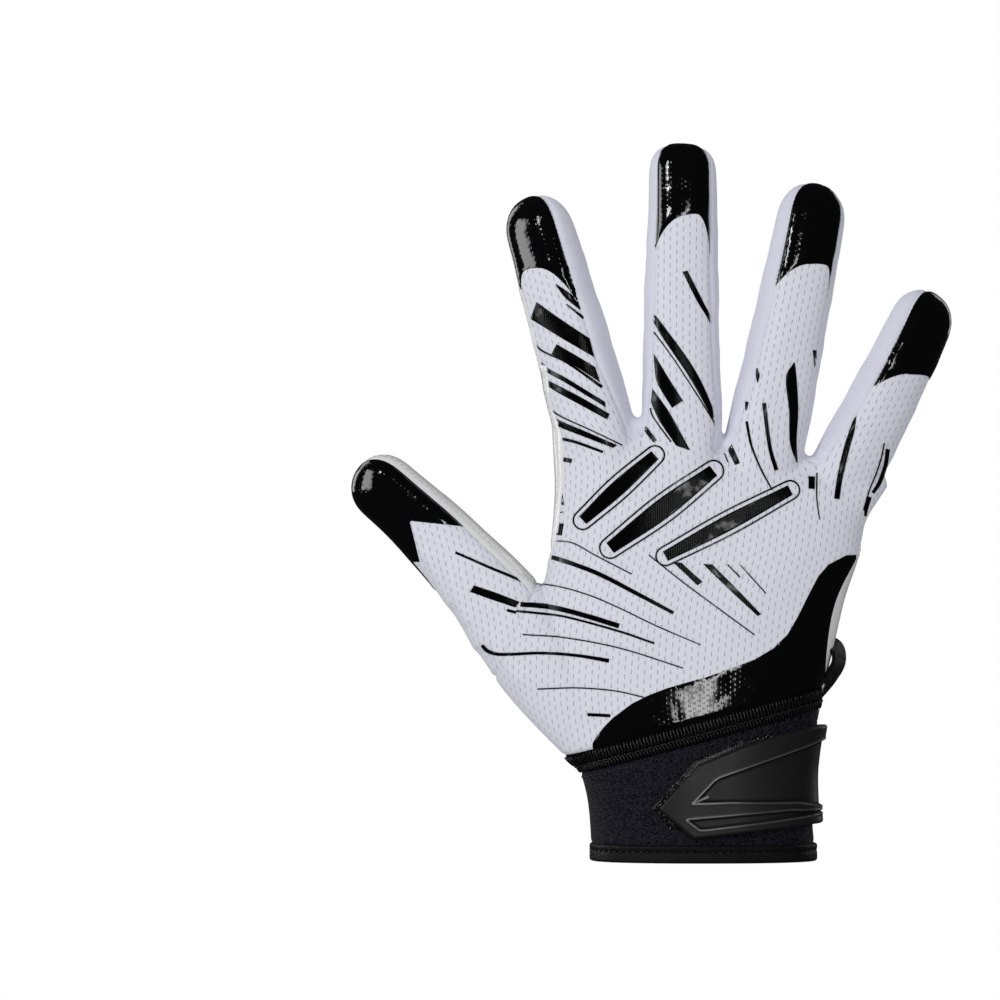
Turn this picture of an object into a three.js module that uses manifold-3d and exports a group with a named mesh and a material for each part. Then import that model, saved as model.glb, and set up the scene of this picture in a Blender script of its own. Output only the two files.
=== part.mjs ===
// A right-hand American football receiver glove in the full shape it has on an open hand.
// Units are millimetres. +Z runs from the hem to the middle fingertip, the back of the hand
// faces -Y, the palm faces +Y and the thumb points to -X. The origin is the middle of the
// wrist opening, at the hem. The hand, finger and thumb forms are lofts through a few
// rounded-box sections. The sewn panels are cut out of the one hollow shell they make.
import * as THREE from 'three';
import { mergeVertices } from 'three/addons/utils/BufferGeometryUtils.js';
import Module from 'manifold-3d';

const wasm = await Module();
wasm.setup();

// Driving dimensions of the hand form
const HAND_LENGTH = 138;        // hem to the web beside the middle finger
const KNUCKLE_WIDTH = 102;      // across the knuckles
const PALM_DEPTH = 40;          // back to palm at the thumb's base
const HEM_WIDTH = 72.6;         // wrist opening, thumb side to little finger side
const HEM_DEPTH = 45;           // wrist opening, back to palm
const INDEX_LENGTH = 73.5;       // web to fingertip
const MIDDLE_LENGTH = 92;
const RING_LENGTH = 84.5;
const LITTLE_LENGTH = 61.5;
const THUMB_LENGTH = 80;        // from the thumb's base joint to its tip
const FINGER_WIDTH = 24.4;      // middle finger at its middle joint
const FINGER_DEPTH = 21;
const LITTLE_WIDTH = 22;
const LITTLE_DEPTH = 19;
const THUMB_WIDTH = 22.4;
const THUMB_DEPTH = 21;

// Driving dimensions of the materials and trim
const WALL = 1.5;               // knit, and grip sheet on its backing
const SEAM_GAP = 0.3;           // between sewn panels
const CUFF_THICKNESS = 2.6;     // foam-backed knit
const BAND_THICKNESS = 3.0;     // overlocked seam
const BAND_WIDTH = 6.5;
const BAND_HEIGHT = 39;         // lower edge of the seam above the hem, at mid width
const BAND_RISE = 0.6;          // how far it stands above the panels
const BAND_SLOPE = 15;          // degrees, rising towards the little finger side
const BINDING_THICKNESS = 3.4;  // hem binding, folded round the edge
const BINDING_HEIGHT = 5.2;
const BINDING_RISE = 0.7;
const STRAP_THICKNESS = 2.2;    // moulded pull tab
const STRAP_LENGTH = 53;        // point to the little finger side
const STRAP_WIDTH = 31.5;
const LANDING_THICKNESS = 0.7;  // fastener patch under the tab
const LANDING_MARGIN = 3.4;
const LOOP_THICKNESS = 1.3;     // webbing pull loop on the little finger side
const LOOP_WIDTH = 12;
const LOOP_LENGTH = 25;
const LOOP_REACH = 5;           // how far it stands out from the glove
const LOOP_HEIGHT = 51;         // lower foot above the hem
const LABEL_THICKNESS = 1.0;
const LABEL_WIDTH = 12;
const LABEL_LENGTH = 33;
const LABEL_EDGE = -33;         // its thumb side edge in x

// How round the sections are: 2 is an ellipse, more is a softer box
const ROUNDNESS = 2.4;
const HAND_SIDES = 24;
const FINGER_SIDES = 12;
const DOME_STEPS = [0.45, 0.78, 1];  // rings on a fingertip, as shares of its dome length
const REACH = 1.45;             // how far a cutter passes the surface it cuts, as a share

const DEGREE = Math.PI / 180;
const AWAY = 400;               // further than anything on the glove

// Hand sections from hem to webs. Left is the thumb side. x is in millimetres through a named
// width, z is a share of HAND_LENGTH, back and palm are half depths. A seam is the angle, past
// the side line and towards the back, to which the palm panel wraps round.
const HAND_ROWS = [
  { at: 0.000, leftX: -0.500 * HEM_WIDTH, leftZ: 0.000, rightX: 0.490 * HEM_WIDTH, rightZ: 0.000,
    back: 0.50 * HEM_DEPTH, palm: 0.50 * HEM_DEPTH, leftSeam: -48, rightSeam: -6 },
  { at: 0.140, leftX: -0.520 * HEM_WIDTH, leftZ: 0.140, rightX: 0.470 * HEM_WIDTH, rightZ: 0.140,
    back: 0.48 * HEM_DEPTH, palm: 0.48 * HEM_DEPTH, leftSeam: -48, rightSeam: -5 },
  { at: 0.225, leftX: -0.403 * KNUCKLE_WIDTH, leftZ: 0.225, rightX: 0.335 * KNUCKLE_WIDTH, rightZ: 0.225,
    back: 0.53 * PALM_DEPTH, palm: 0.55 * PALM_DEPTH, leftSeam: -49, rightSeam: -2 },
  { at: 0.370, leftX: -0.490 * KNUCKLE_WIDTH, leftZ: 0.370, rightX: 0.367 * KNUCKLE_WIDTH, rightZ: 0.370,
    back: 0.49 * PALM_DEPTH, palm: 0.56 * PALM_DEPTH, leftSeam: -50, rightSeam: 4 },
  { at: 0.490, leftX: -0.515 * KNUCKLE_WIDTH, leftZ: 0.490, rightX: 0.404 * KNUCKLE_WIDTH, rightZ: 0.490,
    back: 0.46 * PALM_DEPTH, palm: 0.53 * PALM_DEPTH, leftSeam: -38, rightSeam: 20 },
  { at: 0.610, leftX: -0.512 * KNUCKLE_WIDTH, leftZ: 0.610, rightX: 0.440 * KNUCKLE_WIDTH, rightZ: 0.610,
    back: 0.44 * PALM_DEPTH, palm: 0.47 * PALM_DEPTH, leftSeam: -12, rightSeam: 22 },
  { at: 0.720, leftX: -0.490 * KNUCKLE_WIDTH, leftZ: 0.728, rightX: 0.488 * KNUCKLE_WIDTH, rightZ: 0.712,
    back: 0.42 * PALM_DEPTH, palm: 0.42 * PALM_DEPTH, leftSeam: 8, rightSeam: 10 },
  { at: 0.840, leftX: -0.474 * KNUCKLE_WIDTH, leftZ: 0.860, rightX: 0.507 * KNUCKLE_WIDTH, rightZ: 0.785,
    back: 0.39 * PALM_DEPTH, palm: 0.36 * PALM_DEPTH, leftSeam: 18, rightSeam: -18 },
  { at: 0.930, leftX: -0.480 * KNUCKLE_WIDTH, leftZ: 0.965, rightX: 0.545 * KNUCKLE_WIDTH, rightZ: 0.838,
    back: 0.33 * PALM_DEPTH, palm: 0.30 * PALM_DEPTH, leftSeam: 22, rightSeam: -32 },
  { at: 1.000, leftX: -0.486 * KNUCKLE_WIDTH, leftZ: 1.046, rightX: 0.580 * KNUCKLE_WIDTH, rightZ: 0.872,
    back: 0.17 * PALM_DEPTH, palm: 0.17 * PALM_DEPTH, leftSeam: 26, rightSeam: -36 },
];
const HAND_TOP = 4;             // height of the rounded rim between the fingers

// Section sizes along a finger and along the thumb, as shares of its own length, width and depth
const FINGER_PROFILE = [
  { at: -0.45, width: 0.90, depth: 1.00 },
  { at: 0.00, width: 1.05, depth: 1.08 },
  { at: 0.30, width: 1.01, depth: 1.00 },
  { at: 0.62, width: 0.95, depth: 0.93 },
  { at: 0.86, width: 0.90, depth: 0.84 },
  { at: 1.00, width: 0.87, depth: 0.76 },
];
const THUMB_PROFILE = [
  { at: -0.50, width: 0.90, depth: 1.35 },
  { at: -0.15, width: 1.30, depth: 1.45 },
  { at: 0.10, width: 1.30, depth: 1.32 },
  { at: 0.45, width: 1.08, depth: 1.04 },
  { at: 0.80, width: 0.96, depth: 0.88 },
  { at: 1.00, width: 0.90, depth: 0.76 },
];

// The five fingers. x, y and z place the web point, lean turns from +Z towards +X and curl
// towards the palm, each from the web to the tip, and roll turns the back of the finger
// towards the little finger side. Angles are in degrees.
const FINGERS = [
  { name: 'index', length: INDEX_LENGTH, width: FINGER_WIDTH, depth: FINGER_DEPTH, profile: FINGER_PROFILE,
    x: -0.359 * KNUCKLE_WIDTH, y: 0.00 * PALM_DEPTH, z: 1.040 * HAND_LENGTH,
    leanFrom: -14.5, leanTo: -17, curlFrom: 3, curlTo: 14, roll: -24, palmFrom: 140, palmTo: 360 },
  { name: 'middle', length: MIDDLE_LENGTH, width: FINGER_WIDTH, depth: FINGER_DEPTH, profile: FINGER_PROFILE,
    x: -0.074 * KNUCKLE_WIDTH, y: -0.05 * PALM_DEPTH, z: 1.010 * HAND_LENGTH,
    leanFrom: 0, leanTo: 1, curlFrom: 3, curlTo: 12, roll: 0, palmFrom: 180, palmTo: 360 },
  { name: 'ring', length: RING_LENGTH, width: FINGER_WIDTH, depth: FINGER_DEPTH, profile: FINGER_PROFILE,
    x: 0.193 * KNUCKLE_WIDTH, y: -0.02 * PALM_DEPTH, z: 0.985 * HAND_LENGTH,
    leanFrom: 12, leanTo: 11.5, curlFrom: 3, curlTo: 14, roll: 12, palmFrom: 180, palmTo: 360 },
  { name: 'little', length: LITTLE_LENGTH, width: LITTLE_WIDTH, depth: LITTLE_DEPTH, profile: FINGER_PROFILE,
    x: 0.460 * KNUCKLE_WIDTH, y: 0.06 * PALM_DEPTH, z: 0.930 * HAND_LENGTH,
    leanFrom: 28.5, leanTo: 25, curlFrom: 3, curlTo: 16, roll: 24, palmFrom: 180, palmTo: 324 },
];
const THUMB = {
  name: 'thumb', length: THUMB_LENGTH, width: THUMB_WIDTH, depth: THUMB_DEPTH, profile: THUMB_PROFILE,
  x: -0.552 * KNUCKLE_WIDTH, y: 0.06 * PALM_DEPTH, z: 0.503 * HAND_LENGTH,
  leanFrom: -36, leanTo: -52, curlFrom: 4, curlTo: 8, roll: -24, palmFrom: 205, palmTo: 378,
};
const DOME = 0.50;              // length of a fingertip's dome, as a share of the finger's width
for (const finger of [...FINGERS, THUMB]) finger.gripStart = finger === THUMB ? -0.6 : -0.1;

// Half angle of the side strip between two fingers, along a finger
const SIDE_STRIP_ROWS = [
  { at: -0.10, half: 14 },
  { at: 0.04, half: 26 },
  { at: 0.20, half: 38 },
  { at: 0.60, half: 42 },
  { at: 0.90, half: 36 },
  { at: 1.05, half: 26 },
];
const SIDE_STRIP_DEPTH = 0.42;  // how near the finger's middle the strip's cutter starts
const WEB_STRIP_WIDTH = 9;      // of the strip over the rim between two fingers
const SIDE_STRIPS = [
  { name: 'side_strip_index_middle', from: 'index', to: 'middle' },
  { name: 'side_strip_middle_ring', from: 'middle', to: 'ring' },
  { name: 'side_strip_ring_little', from: 'ring', to: 'little' },
];

// Fingertip caps: the middle of the arch and the foot of its legs, as shares of the length
// measured back from the tip, and the angles round the finger that the cap spans
const CAPS = [
  { finger: 'index', arch: 0.37, leg: 0.56, from: 42, to: 142 },
  { finger: 'middle', arch: 0.27, leg: 0.38, from: 42, to: 138 },
  { finger: 'ring', arch: 0.31, leg: 0.42, from: 42, to: 138 },
  { finger: 'little', arch: 0.40, leg: 0.53, from: -34, to: 138 },
  { finger: 'thumb', arch: 0.38, leg: 0.58, from: 20, to: 202 },
];

// Outline of the glossy wrist panel on the back, x as shares of KNUCKLE_WIDTH and z of HAND_LENGTH
const WRIST_PANEL_EDGE = [
  { x: -0.360, z: 0.200 },
  { x: -0.352, z: 0.286 },
  { x: -0.182, z: 0.385 },
  { x: 0.000, z: 0.430 },
  { x: 0.150, z: 0.470 },
  { x: 0.255, z: 0.528 },
  { x: 0.322, z: 0.620 },
  { x: 0.385, z: 0.690 },
  { x: 0.442, z: 0.711 },
  { x: 0.600, z: 0.716 },
  { x: 0.600, z: 0.250 },
];

// Seam between the thumb and the hand, x as shares of KNUCKLE_WIDTH and z of HAND_LENGTH
const THUMB_SEAM = [
  { x: -0.488, z: 0.722 },
  { x: -0.560, z: 0.590 },
  { x: -0.690, z: 0.385 },
];

// Outline of the closure tab, x as shares of STRAP_LENGTH from its point and z of STRAP_WIDTH
const STRAP_EDGE = [
  { x: 0.000, z: 0.300 },
  { x: 0.215, z: 0.000 },
  { x: 0.640, z: 0.080 },
  { x: 0.960, z: 0.135 },
  { x: 1.300, z: 0.160 },
  { x: 1.300, z: 1.180 },
  { x: 1.000, z: 1.130 },
  { x: 0.780, z: 1.060 },
  { x: 0.530, z: 0.940 },
  { x: 0.252, z: 0.755 },
];
const STRAP_POINT = { x: -15.8, z: 7.9 };  // the tab's point in x, and its lowest corner in z

const COLOURS = {
  knit: 0xe6e6f2, grip: 0xf1efee, gloss: 0x0b0b0d, foam: 0x14141d, trim: 0x1a1a1e, label: 0xf0eff6,
};

// Solids from closed meshes, and back
function solidFrom(geometry) {
  const bare = geometry.index ? geometry.toNonIndexed() : geometry.clone();
  bare.deleteAttribute('normal');
  bare.deleteAttribute('uv');
  const merged = mergeVertices(bare, 1e-4);
  const vertProperties = new Float32Array(merged.attributes.position.array);
  const triVerts = new Uint32Array(merged.index.array);
  let volume = 0;
  const corner = [new THREE.Vector3(), new THREE.Vector3(), new THREE.Vector3()];
  for (let i = 0; i < triVerts.length; i += 3) {
    corner.forEach((point, k) => point.fromArray(vertProperties, 3 * triVerts[i + k]));
    volume += corner[0].dot(corner[1].cross(corner[2]));
  }
  if (volume < 0) {
    for (let i = 0; i < triVerts.length; i += 3) {
      [triVerts[i], triVerts[i + 1]] = [triVerts[i + 1], triVerts[i]];
    }
  }
  return new wasm.Manifold(new wasm.Mesh({ numProp: 3, vertProperties, triVerts }));
}

function largestBody(solid) {
  const bodies = solid.decompose();
  return bodies.reduce((best, body) => (body.volume() > best.volume() ? body : best));
}

function nodeFrom(name, solid, colour, roughness) {
  const mesh = largestBody(solid).getMesh();
  const geometry = new THREE.BufferGeometry();
  const positions = new Float32Array(mesh.numVert * 3);
  for (let i = 0; i < mesh.numVert; i += 1) {
    for (let k = 0; k < 3; k += 1) positions[3 * i + k] = mesh.vertProperties[i * mesh.numProp + k];
  }
  geometry.setAttribute('position', new THREE.BufferAttribute(positions, 3));
  geometry.setIndex(new THREE.BufferAttribute(new Uint32Array(mesh.triVerts), 1));
  geometry.computeVertexNormals();
  const material = new THREE.MeshStandardMaterial({ color: colour, roughness, metalness: 0 });
  const node = new THREE.Mesh(geometry, material);
  node.name = name;
  return node;
}

// Smooth interpolation of one column of a table over its "at" column
function column(rows, key, at) {
  const last = rows.length - 1;
  if (at <= rows[0].at) return rows[0][key];
  if (at >= rows[last].at) return rows[last][key];
  const i = rows.findIndex((row) => row.at > at) - 1;
  const slope = (j) => {
    const a = rows[Math.max(j - 1, 0)];
    const b = rows[Math.min(j + 1, last)];
    return (b[key] - a[key]) / (b.at - a.at);
  };
  const span = rows[i + 1].at - rows[i].at;
  const t = (at - rows[i].at) / span;
  return (2 * t ** 3 - 3 * t ** 2 + 1) * rows[i][key] + (t ** 3 - 2 * t ** 2 + t) * span * slope(i)
    + (3 * t ** 2 - 2 * t ** 3) * rows[i + 1][key] + (t ** 3 - t ** 2) * span * slope(i + 1);
}

// A section is a centre with side and dorsal directions, half sizes and the way it faces
function handSection(at) {
  const left = new THREE.Vector3(column(HAND_ROWS, 'leftX', at), 0, column(HAND_ROWS, 'leftZ', at) * HAND_LENGTH);
  const right = new THREE.Vector3(column(HAND_ROWS, 'rightX', at), 0, column(HAND_ROWS, 'rightZ', at) * HAND_LENGTH);
  const side = right.clone().sub(left).normalize();
  const along = new THREE.Vector3(-side.z, 0, side.x);
  const beyond = Math.min(at, 0) + Math.max(at - 1, 0);
  return {
    centre: left.clone().add(right).multiplyScalar(0.5).addScaledVector(along, beyond * HAND_LENGTH),
    side,
    dorsal: new THREE.Vector3(0, -1, 0),
    along,
    halfWidth: left.distanceTo(right) / 2,
    back: column(HAND_ROWS, 'back', at),
    palm: column(HAND_ROWS, 'palm', at),
  };
}

function fingerSection(finger, at) {
  const steps = 16;
  const centre = new THREE.Vector3(finger.x, finger.y, finger.z);
  const direction = (share) => {
    const s = Math.max(share, 0);
    const lean = (finger.leanFrom + (finger.leanTo - finger.leanFrom) * s) * DEGREE;
    const curl = (finger.curlFrom + (finger.curlTo - finger.curlFrom) * s) * DEGREE;
    return new THREE.Vector3(Math.sin(lean) * Math.cos(curl), Math.sin(curl), Math.cos(lean) * Math.cos(curl));
  };
  for (let i = 0; i < steps; i += 1) {
    centre.addScaledVector(direction((at * (i + 0.5)) / steps), (at * finger.length) / steps);
  }
  const along = direction(at);
  const flatDorsal = new THREE.Vector3(0, -1, 0).addScaledVector(along, along.y).normalize();
  const flatSide = along.clone().cross(flatDorsal);
  const roll = finger.roll * DEGREE;
  const dorsal = flatDorsal.clone().multiplyScalar(Math.cos(roll)).addScaledVector(flatSide, Math.sin(roll));
  return {
    centre,
    side: along.clone().cross(dorsal),
    dorsal,
    along,
    halfWidth: (column(finger.profile, 'width', at) * finger.width) / 2,
    back: (column(finger.profile, 'depth', at) * finger.depth) / 2,
    palm: (column(finger.profile, 'depth', at) * finger.depth) / 2,
  };
}

// A point on a section's rounded-box outline: 0 degrees is its +side edge, 90 its dorsal face
function outlinePoint(section, degrees, grow = 0, scale = 1) {
  const c = Math.cos(degrees * DEGREE);
  const s = Math.sin(degrees * DEGREE);
  const power = 2 / ROUNDNESS;
  const depth = (s >= 0 ? section.back : section.palm) + grow;
  const u = (section.halfWidth + grow) * Math.sign(c) * Math.abs(c) ** power * scale;
  const v = depth * Math.sign(s) * Math.abs(s) ** power * scale;
  return section.centre.clone().addScaledVector(section.side, u).addScaledVector(section.dorsal, v);
}

function ring(section, sides, grow, scale = 1) {
  return Array.from({ length: sides }, (_, i) => outlinePoint(section, (360 * i) / sides, grow, scale));
}

// A closed solid through rings of equal counts. The ends are fans from each ring's first point,
// or the triangles given for an outline that isn't star-shaped round that point.
function loft(rings, endTriangles) {
  const count = rings[0].length;
  const last = (rings.length - 1) * count;
  const ends = endTriangles || Array.from({ length: count - 2 }, (_, i) => [0, i + 1, i + 2]);
  const faces = [];
  for (let r = 0; r < last; r += count) {
    for (let i = 0; i < count; i += 1) {
      const j = (i + 1) % count;
      faces.push(r + i, r + j, r + count + j);
      faces.push(r + i, r + count + j, r + count + i);
    }
  }
  for (const [a, b, c] of ends) faces.push(b, a, c, last + a, last + b, last + c);
  const geometry = new THREE.BufferGeometry();
  const positions = rings.flat().flatMap((point) => point.toArray());
  geometry.setAttribute('position', new THREE.Float32BufferAttribute(positions, 3));
  geometry.setIndex(faces);
  return solidFrom(geometry);
}

// Whole forms of the hand and of a finger, each grown outwards or, if negative, inwards
function handForm(grow, below = 0) {
  const rings = HAND_ROWS.map((row) => ring(handSection(row.at), HAND_SIDES, grow));
  if (below) rings.unshift(rings[0].map((point) => point.clone().setZ(-below)));
  const top = handSection(1);
  for (const share of [0.6, 1]) {
    const rise = share * (HAND_TOP + grow);
    const rim = { ...top, centre: top.centre.clone().addScaledVector(top.along, rise) };
    const flatness = Math.sqrt(1 - (0.92 * share) ** 2);
    rim.back = (top.back + grow) * flatness - grow;
    rim.palm = (top.palm + grow) * flatness - grow;
    rim.halfWidth = top.halfWidth - share * 2;
    rings.push(ring(rim, HAND_SIDES, grow));
  }
  return loft(rings);
}

function fingerForm(finger, grow) {
  const dome = DOME * finger.width;
  const straight = finger.length - dome;
  const stations = finger.profile.map((row) => row.at * finger.length).filter((x) => x < straight - 0.3 * dome);
  const rings = [...stations, straight].map((x) => ring(fingerSection(finger, x / finger.length), FINGER_SIDES, grow));
  for (const share of DOME_STEPS) {
    const at = (straight + share * (dome + grow)) / finger.length;
    rings.push(ring(fingerSection(finger, at), FINGER_SIDES, grow, Math.sqrt(1 - (0.99 * share) ** 2)));
  }
  return loft(rings);
}

function gloveForm(grow, below = 0) {
  const forms = [handForm(grow, below), ...[...FINGERS, THUMB].map((finger) => fingerForm(finger, grow))];
  return wasm.Manifold.union(forms);
}

// The angle that moves a ray's end sideways by a distance on a section's surface
function angleFor(section, inside, angle, distance) {
  const point = outlinePoint(section, angle);
  const ray = point.clone().sub(inside).normalize();
  const step = outlinePoint(section, angle + 1).sub(point);
  return distance / step.addScaledVector(ray, -step.dot(ray)).length();
}

// A cutter round part of a form's circumference. Rays at angles "from" to "to" leave the inside
// of the form and pass its surface. start and end are shares of the length, and legs tells how
// much lower the cutter starts at its edges than in its middle.
function sectorCutter(sectionAt, { from, to, start, end, steps = 4, depth = 0, legs = 0, gap = 0 }) {
  const rays = 2 * Math.ceil((to(start) - from(start)) / 50);
  const spread = legs ? 0 : gap;
  const rings = Array.from({ length: steps + 1 }, (_, step) => {
    const span = step / steps;
    const middle = start + (end - start) * span;
    const core = sectionAt(middle);
    const bisector = (from(middle) + to(middle)) / 2;
    const outward = outlinePoint(core, bisector).sub(core.centre).normalize();
    const inside = outlinePoint(core, bisector, 0, depth).addScaledVector(outward, -spread);
    const points = [inside];
    for (let i = 0; i <= rays; i += 1) {
      const across = (2 * i) / rays - 1;
      const first = start - legs * Math.abs(across) ** 2.5;
      const at = first + (end - first) * span;
      const section = sectionAt(at);
      const angle = from(at) + ((to(at) - from(at)) * i) / rays;
      const slack = across * angleFor(section, inside, angle, gap);
      points.push(outlinePoint(section, angle + slack, 1.5 * spread, REACH));
    }
    return points;
  });
  return loft(rings);
}

// A cutter with a front view outline, points { x, z }, that runs through the glove along Y
function prism(outline, fromY = -AWAY, toY = AWAY) {
  const flat = outline.map(({ x, z }) => new THREE.Vector2(x, z));
  const points = THREE.ShapeUtils.isClockWise(flat) ? [...outline].reverse() : outline;
  const ends = THREE.ShapeUtils.triangulateShape(points.map(({ x, z }) => new THREE.Vector2(x, z)), []);
  return loft([fromY, toY].map((y) => points.map(({ x, z }) => new THREE.Vector3(x, y, z))), ends);
}

// An outline moved outwards by a distance, with mitred corners
function offsetOutline(outline, distance) {
  const turn = Math.sign(THREE.ShapeUtils.area(outline.map(({ x, z }) => new THREE.Vector2(x, z))));
  const edges = outline.map((point, i) => {
    const next = outline[(i + 1) % outline.length];
    return new THREE.Vector2(next.z - point.z, point.x - next.x).normalize().multiplyScalar(turn);
  });
  return outline.map((point, i) => {
    const before = edges[(i + outline.length - 1) % outline.length];
    const mitre = before.clone().add(edges[i]);
    mitre.multiplyScalar((2 * distance) / mitre.lengthSq());
    return { x: point.x + mitre.x, z: point.z + mitre.y };
  });
}

// Takes a piece out of what is left of a shell and leaves a seam gap beside it
function takePiece(shell, cutterWith) {
  const piece = shell.intersect(cutterWith(0));
  return [piece, shell.subtract(cutterWith(SEAM_GAP))];
}

const outside = gloveForm(0);
// Everything above or below a height, or above the seam band's lower edge moved up by "rise"
function slab(fromZ, toZ) {
  return prism([{ x: -AWAY, z: fromZ }, { x: AWAY, z: fromZ }, { x: AWAY, z: toZ }, { x: -AWAY, z: toZ }]);
}

function bandLine(rise) {
  const tilt = BAND_SLOPE * DEGREE;
  return [-AWAY, AWAY].map((x) => ({ x, z: BAND_HEIGHT + x * Math.tan(tilt) + rise / Math.cos(tilt) }));
}

function bandSlab(fromRise, toRise) {
  return prism([...bandLine(fromRise), ...bandLine(toRise).reverse()]);
}

// Panels of the fingers and the thumb
const fingerNamed = (name) => [...FINGERS, THUMB].find((finger) => finger.name === name);

function sideStripCutter({ from, to }, gap) {
  const cutters = [[from, 0], [to, 180]].map(([name, middle]) => {
    const finger = fingerNamed(name);
    return sectorCutter((at) => fingerSection(finger, at), {
      from: (at) => middle - column(SIDE_STRIP_ROWS, 'half', at),
      to: (at) => middle + column(SIDE_STRIP_ROWS, 'half', at),
      start: SIDE_STRIP_ROWS[0].at,
      end: 1 + 0.25 * (finger.width / finger.length),
      depth: SIDE_STRIP_DEPTH,
      gap,
    });
  });
  const corner = (name, at) => fingerSection(fingerNamed(name), at).centre;
  const outline = [corner(from, -0.1), corner(to, -0.1), corner(to, 0.3), corner(from, 0.3)];
  const middleY = (corner(from, 0).y + corner(to, 0).y) / 2;
  const web = prism(offsetOutline(outline, gap), middleY - WEB_STRIP_WIDTH / 2 - gap, middleY + WEB_STRIP_WIDTH / 2 + gap);
  return wasm.Manifold.union([...cutters, web]);
}

function gripCutter(finger, gap) {
  return sectorCutter((at) => fingerSection(finger, at), {
    from: () => finger.palmFrom,
    to: () => finger.palmTo,
    start: finger.gripStart,
    end: 1 + finger.width / finger.length,
    gap,
  });
}

function capCutter(cap, gap) {
  const finger = fingerNamed(cap.finger);
  return sectorCutter((at) => fingerSection(finger, at), {
    from: () => cap.from,
    to: () => cap.to,
    start: 1 - cap.arch - (2 * gap) / finger.length,
    end: 1 + finger.width / finger.length,
    depth: -0.25,
    legs: cap.leg - cap.arch,
    gap,
  });
}

function palmCutter(gap) {
  const hand = sectorCutter(handSection, {
    from: (at) => 180 - column(HAND_ROWS, 'leftSeam', at),
    to: (at) => 360 + column(HAND_ROWS, 'rightSeam', at),
    start: -0.2,
    end: 1.1,
    steps: 10,
    gap,
  });
  return wasm.Manifold.union([hand, ...FINGERS.map((finger) => gripCutter(finger, gap))]);
}

function thumbCutter(gap) {
  const [web, ...rest] = THUMB_SEAM.map(({ x, z }) => ({ x: x * KNUCKLE_WIDTH, z: z * HAND_LENGTH }));
  const far = [{ x: -AWAY, z: rest[rest.length - 1].z }, { x: -AWAY, z: AWAY }, { x: web.x - 0.25 * AWAY, z: AWAY }];
  return prism(offsetOutline([web, ...rest, ...far, { x: web.x - 8, z: web.z + 12 }], gap));
}

function wristPanelCutter(gap) {
  const outline = WRIST_PANEL_EDGE.map(({ x, z }) => ({ x: x * KNUCKLE_WIDTH, z: z * HAND_LENGTH }));
  return prism(offsetOutline(outline, gap));
}

const shell = outside.subtract(gloveForm(-WALL, AWAY / 10));
const aboveBinding = slab(BINDING_HEIGHT + SEAM_GAP, AWAY);
const pieces = {};
let rest = shell.intersect(aboveBinding);

for (const cap of CAPS) {
  [pieces[`fingertip_cap_${cap.finger}`], rest] = takePiece(rest, (gap) => capCutter(cap, gap));
}
for (const strip of SIDE_STRIPS) {
  [pieces[strip.name], rest] = takePiece(rest, (gap) => sideStripCutter(strip, gap));
}
let thumb;
[thumb, rest] = takePiece(rest, thumbCutter);
[pieces.thumb_grip, pieces.thumb_back] = takePiece(thumb, (gap) => gripCutter(THUMB, gap));
[pieces.palm_panel, rest] = takePiece(rest, palmCutter);
rest = rest.intersect(bandSlab(BAND_WIDTH + SEAM_GAP, AWAY));
[pieces.wrist_panel, pieces.back_panel] = takePiece(rest, wristPanelCutter);

// Cuff, seam band and hem binding, each thicker than the panels
const besidePalm = palmCutter(SEAM_GAP);
pieces.cuff = outside.subtract(gloveForm(-CUFF_THICKNESS, AWAY / 10)).intersect(aboveBinding)
  .intersect(bandSlab(-AWAY, -SEAM_GAP)).subtract(besidePalm);
pieces.seam_band = gloveForm(BAND_RISE).subtract(gloveForm(BAND_RISE - BAND_THICKNESS))
  .intersect(bandSlab(0, BAND_WIDTH)).subtract(besidePalm);
pieces.hem_binding = gloveForm(BINDING_RISE, 1).subtract(gloveForm(BINDING_RISE - BINDING_THICKNESS, AWAY / 10))
  .intersect(slab(0, BINDING_HEIGHT));

// Closure tab and the fastener patch under it, both bent round the back of the cuff
const backHalf = prism([{ x: -AWAY, z: -AWAY }, { x: AWAY, z: -AWAY }, { x: AWAY, z: AWAY }, { x: -AWAY, z: AWAY }], -AWAY, 0);
const strapEdge = STRAP_EDGE.map(({ x, z }) => ({
  x: STRAP_POINT.x + x * STRAP_LENGTH, z: STRAP_POINT.z + z * STRAP_WIDTH,
}));
const landingTop = SEAM_GAP + LANDING_THICKNESS;
const strapTop = landingTop + SEAM_GAP + STRAP_THICKNESS;
const strapRoot = prism([
  { x: STRAP_POINT.x + 0.9 * STRAP_LENGTH, z: -AWAY }, { x: AWAY, z: -AWAY },
  { x: AWAY, z: AWAY }, { x: STRAP_POINT.x + 0.9 * STRAP_LENGTH, z: AWAY },
]);
const strapLayer = gloveForm(strapTop, 1);
const strapFree = strapLayer.subtract(gloveForm(strapTop - STRAP_THICKNESS, 2));
const strapSewn = strapLayer.subtract(gloveForm(SEAM_GAP, 2)).intersect(strapRoot);
pieces.closure_strap = strapFree.add(strapSewn).intersect(prism(strapEdge)).intersect(backHalf);
const landingEdge = [
  { x: STRAP_POINT.x + 0.10 * STRAP_LENGTH, z: STRAP_POINT.z + 0.25 * STRAP_WIDTH },
  { x: STRAP_POINT.x + 0.80 * STRAP_LENGTH, z: STRAP_POINT.z + 0.25 * STRAP_WIDTH },
  { x: STRAP_POINT.x + 0.80 * STRAP_LENGTH, z: STRAP_POINT.z + 0.90 * STRAP_WIDTH },
  { x: STRAP_POINT.x + 0.45 * STRAP_LENGTH, z: STRAP_POINT.z + 0.80 * STRAP_WIDTH },
  { x: STRAP_POINT.x + 0.20 * STRAP_LENGTH, z: STRAP_POINT.z + 0.62 * STRAP_WIDTH },
];
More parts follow.
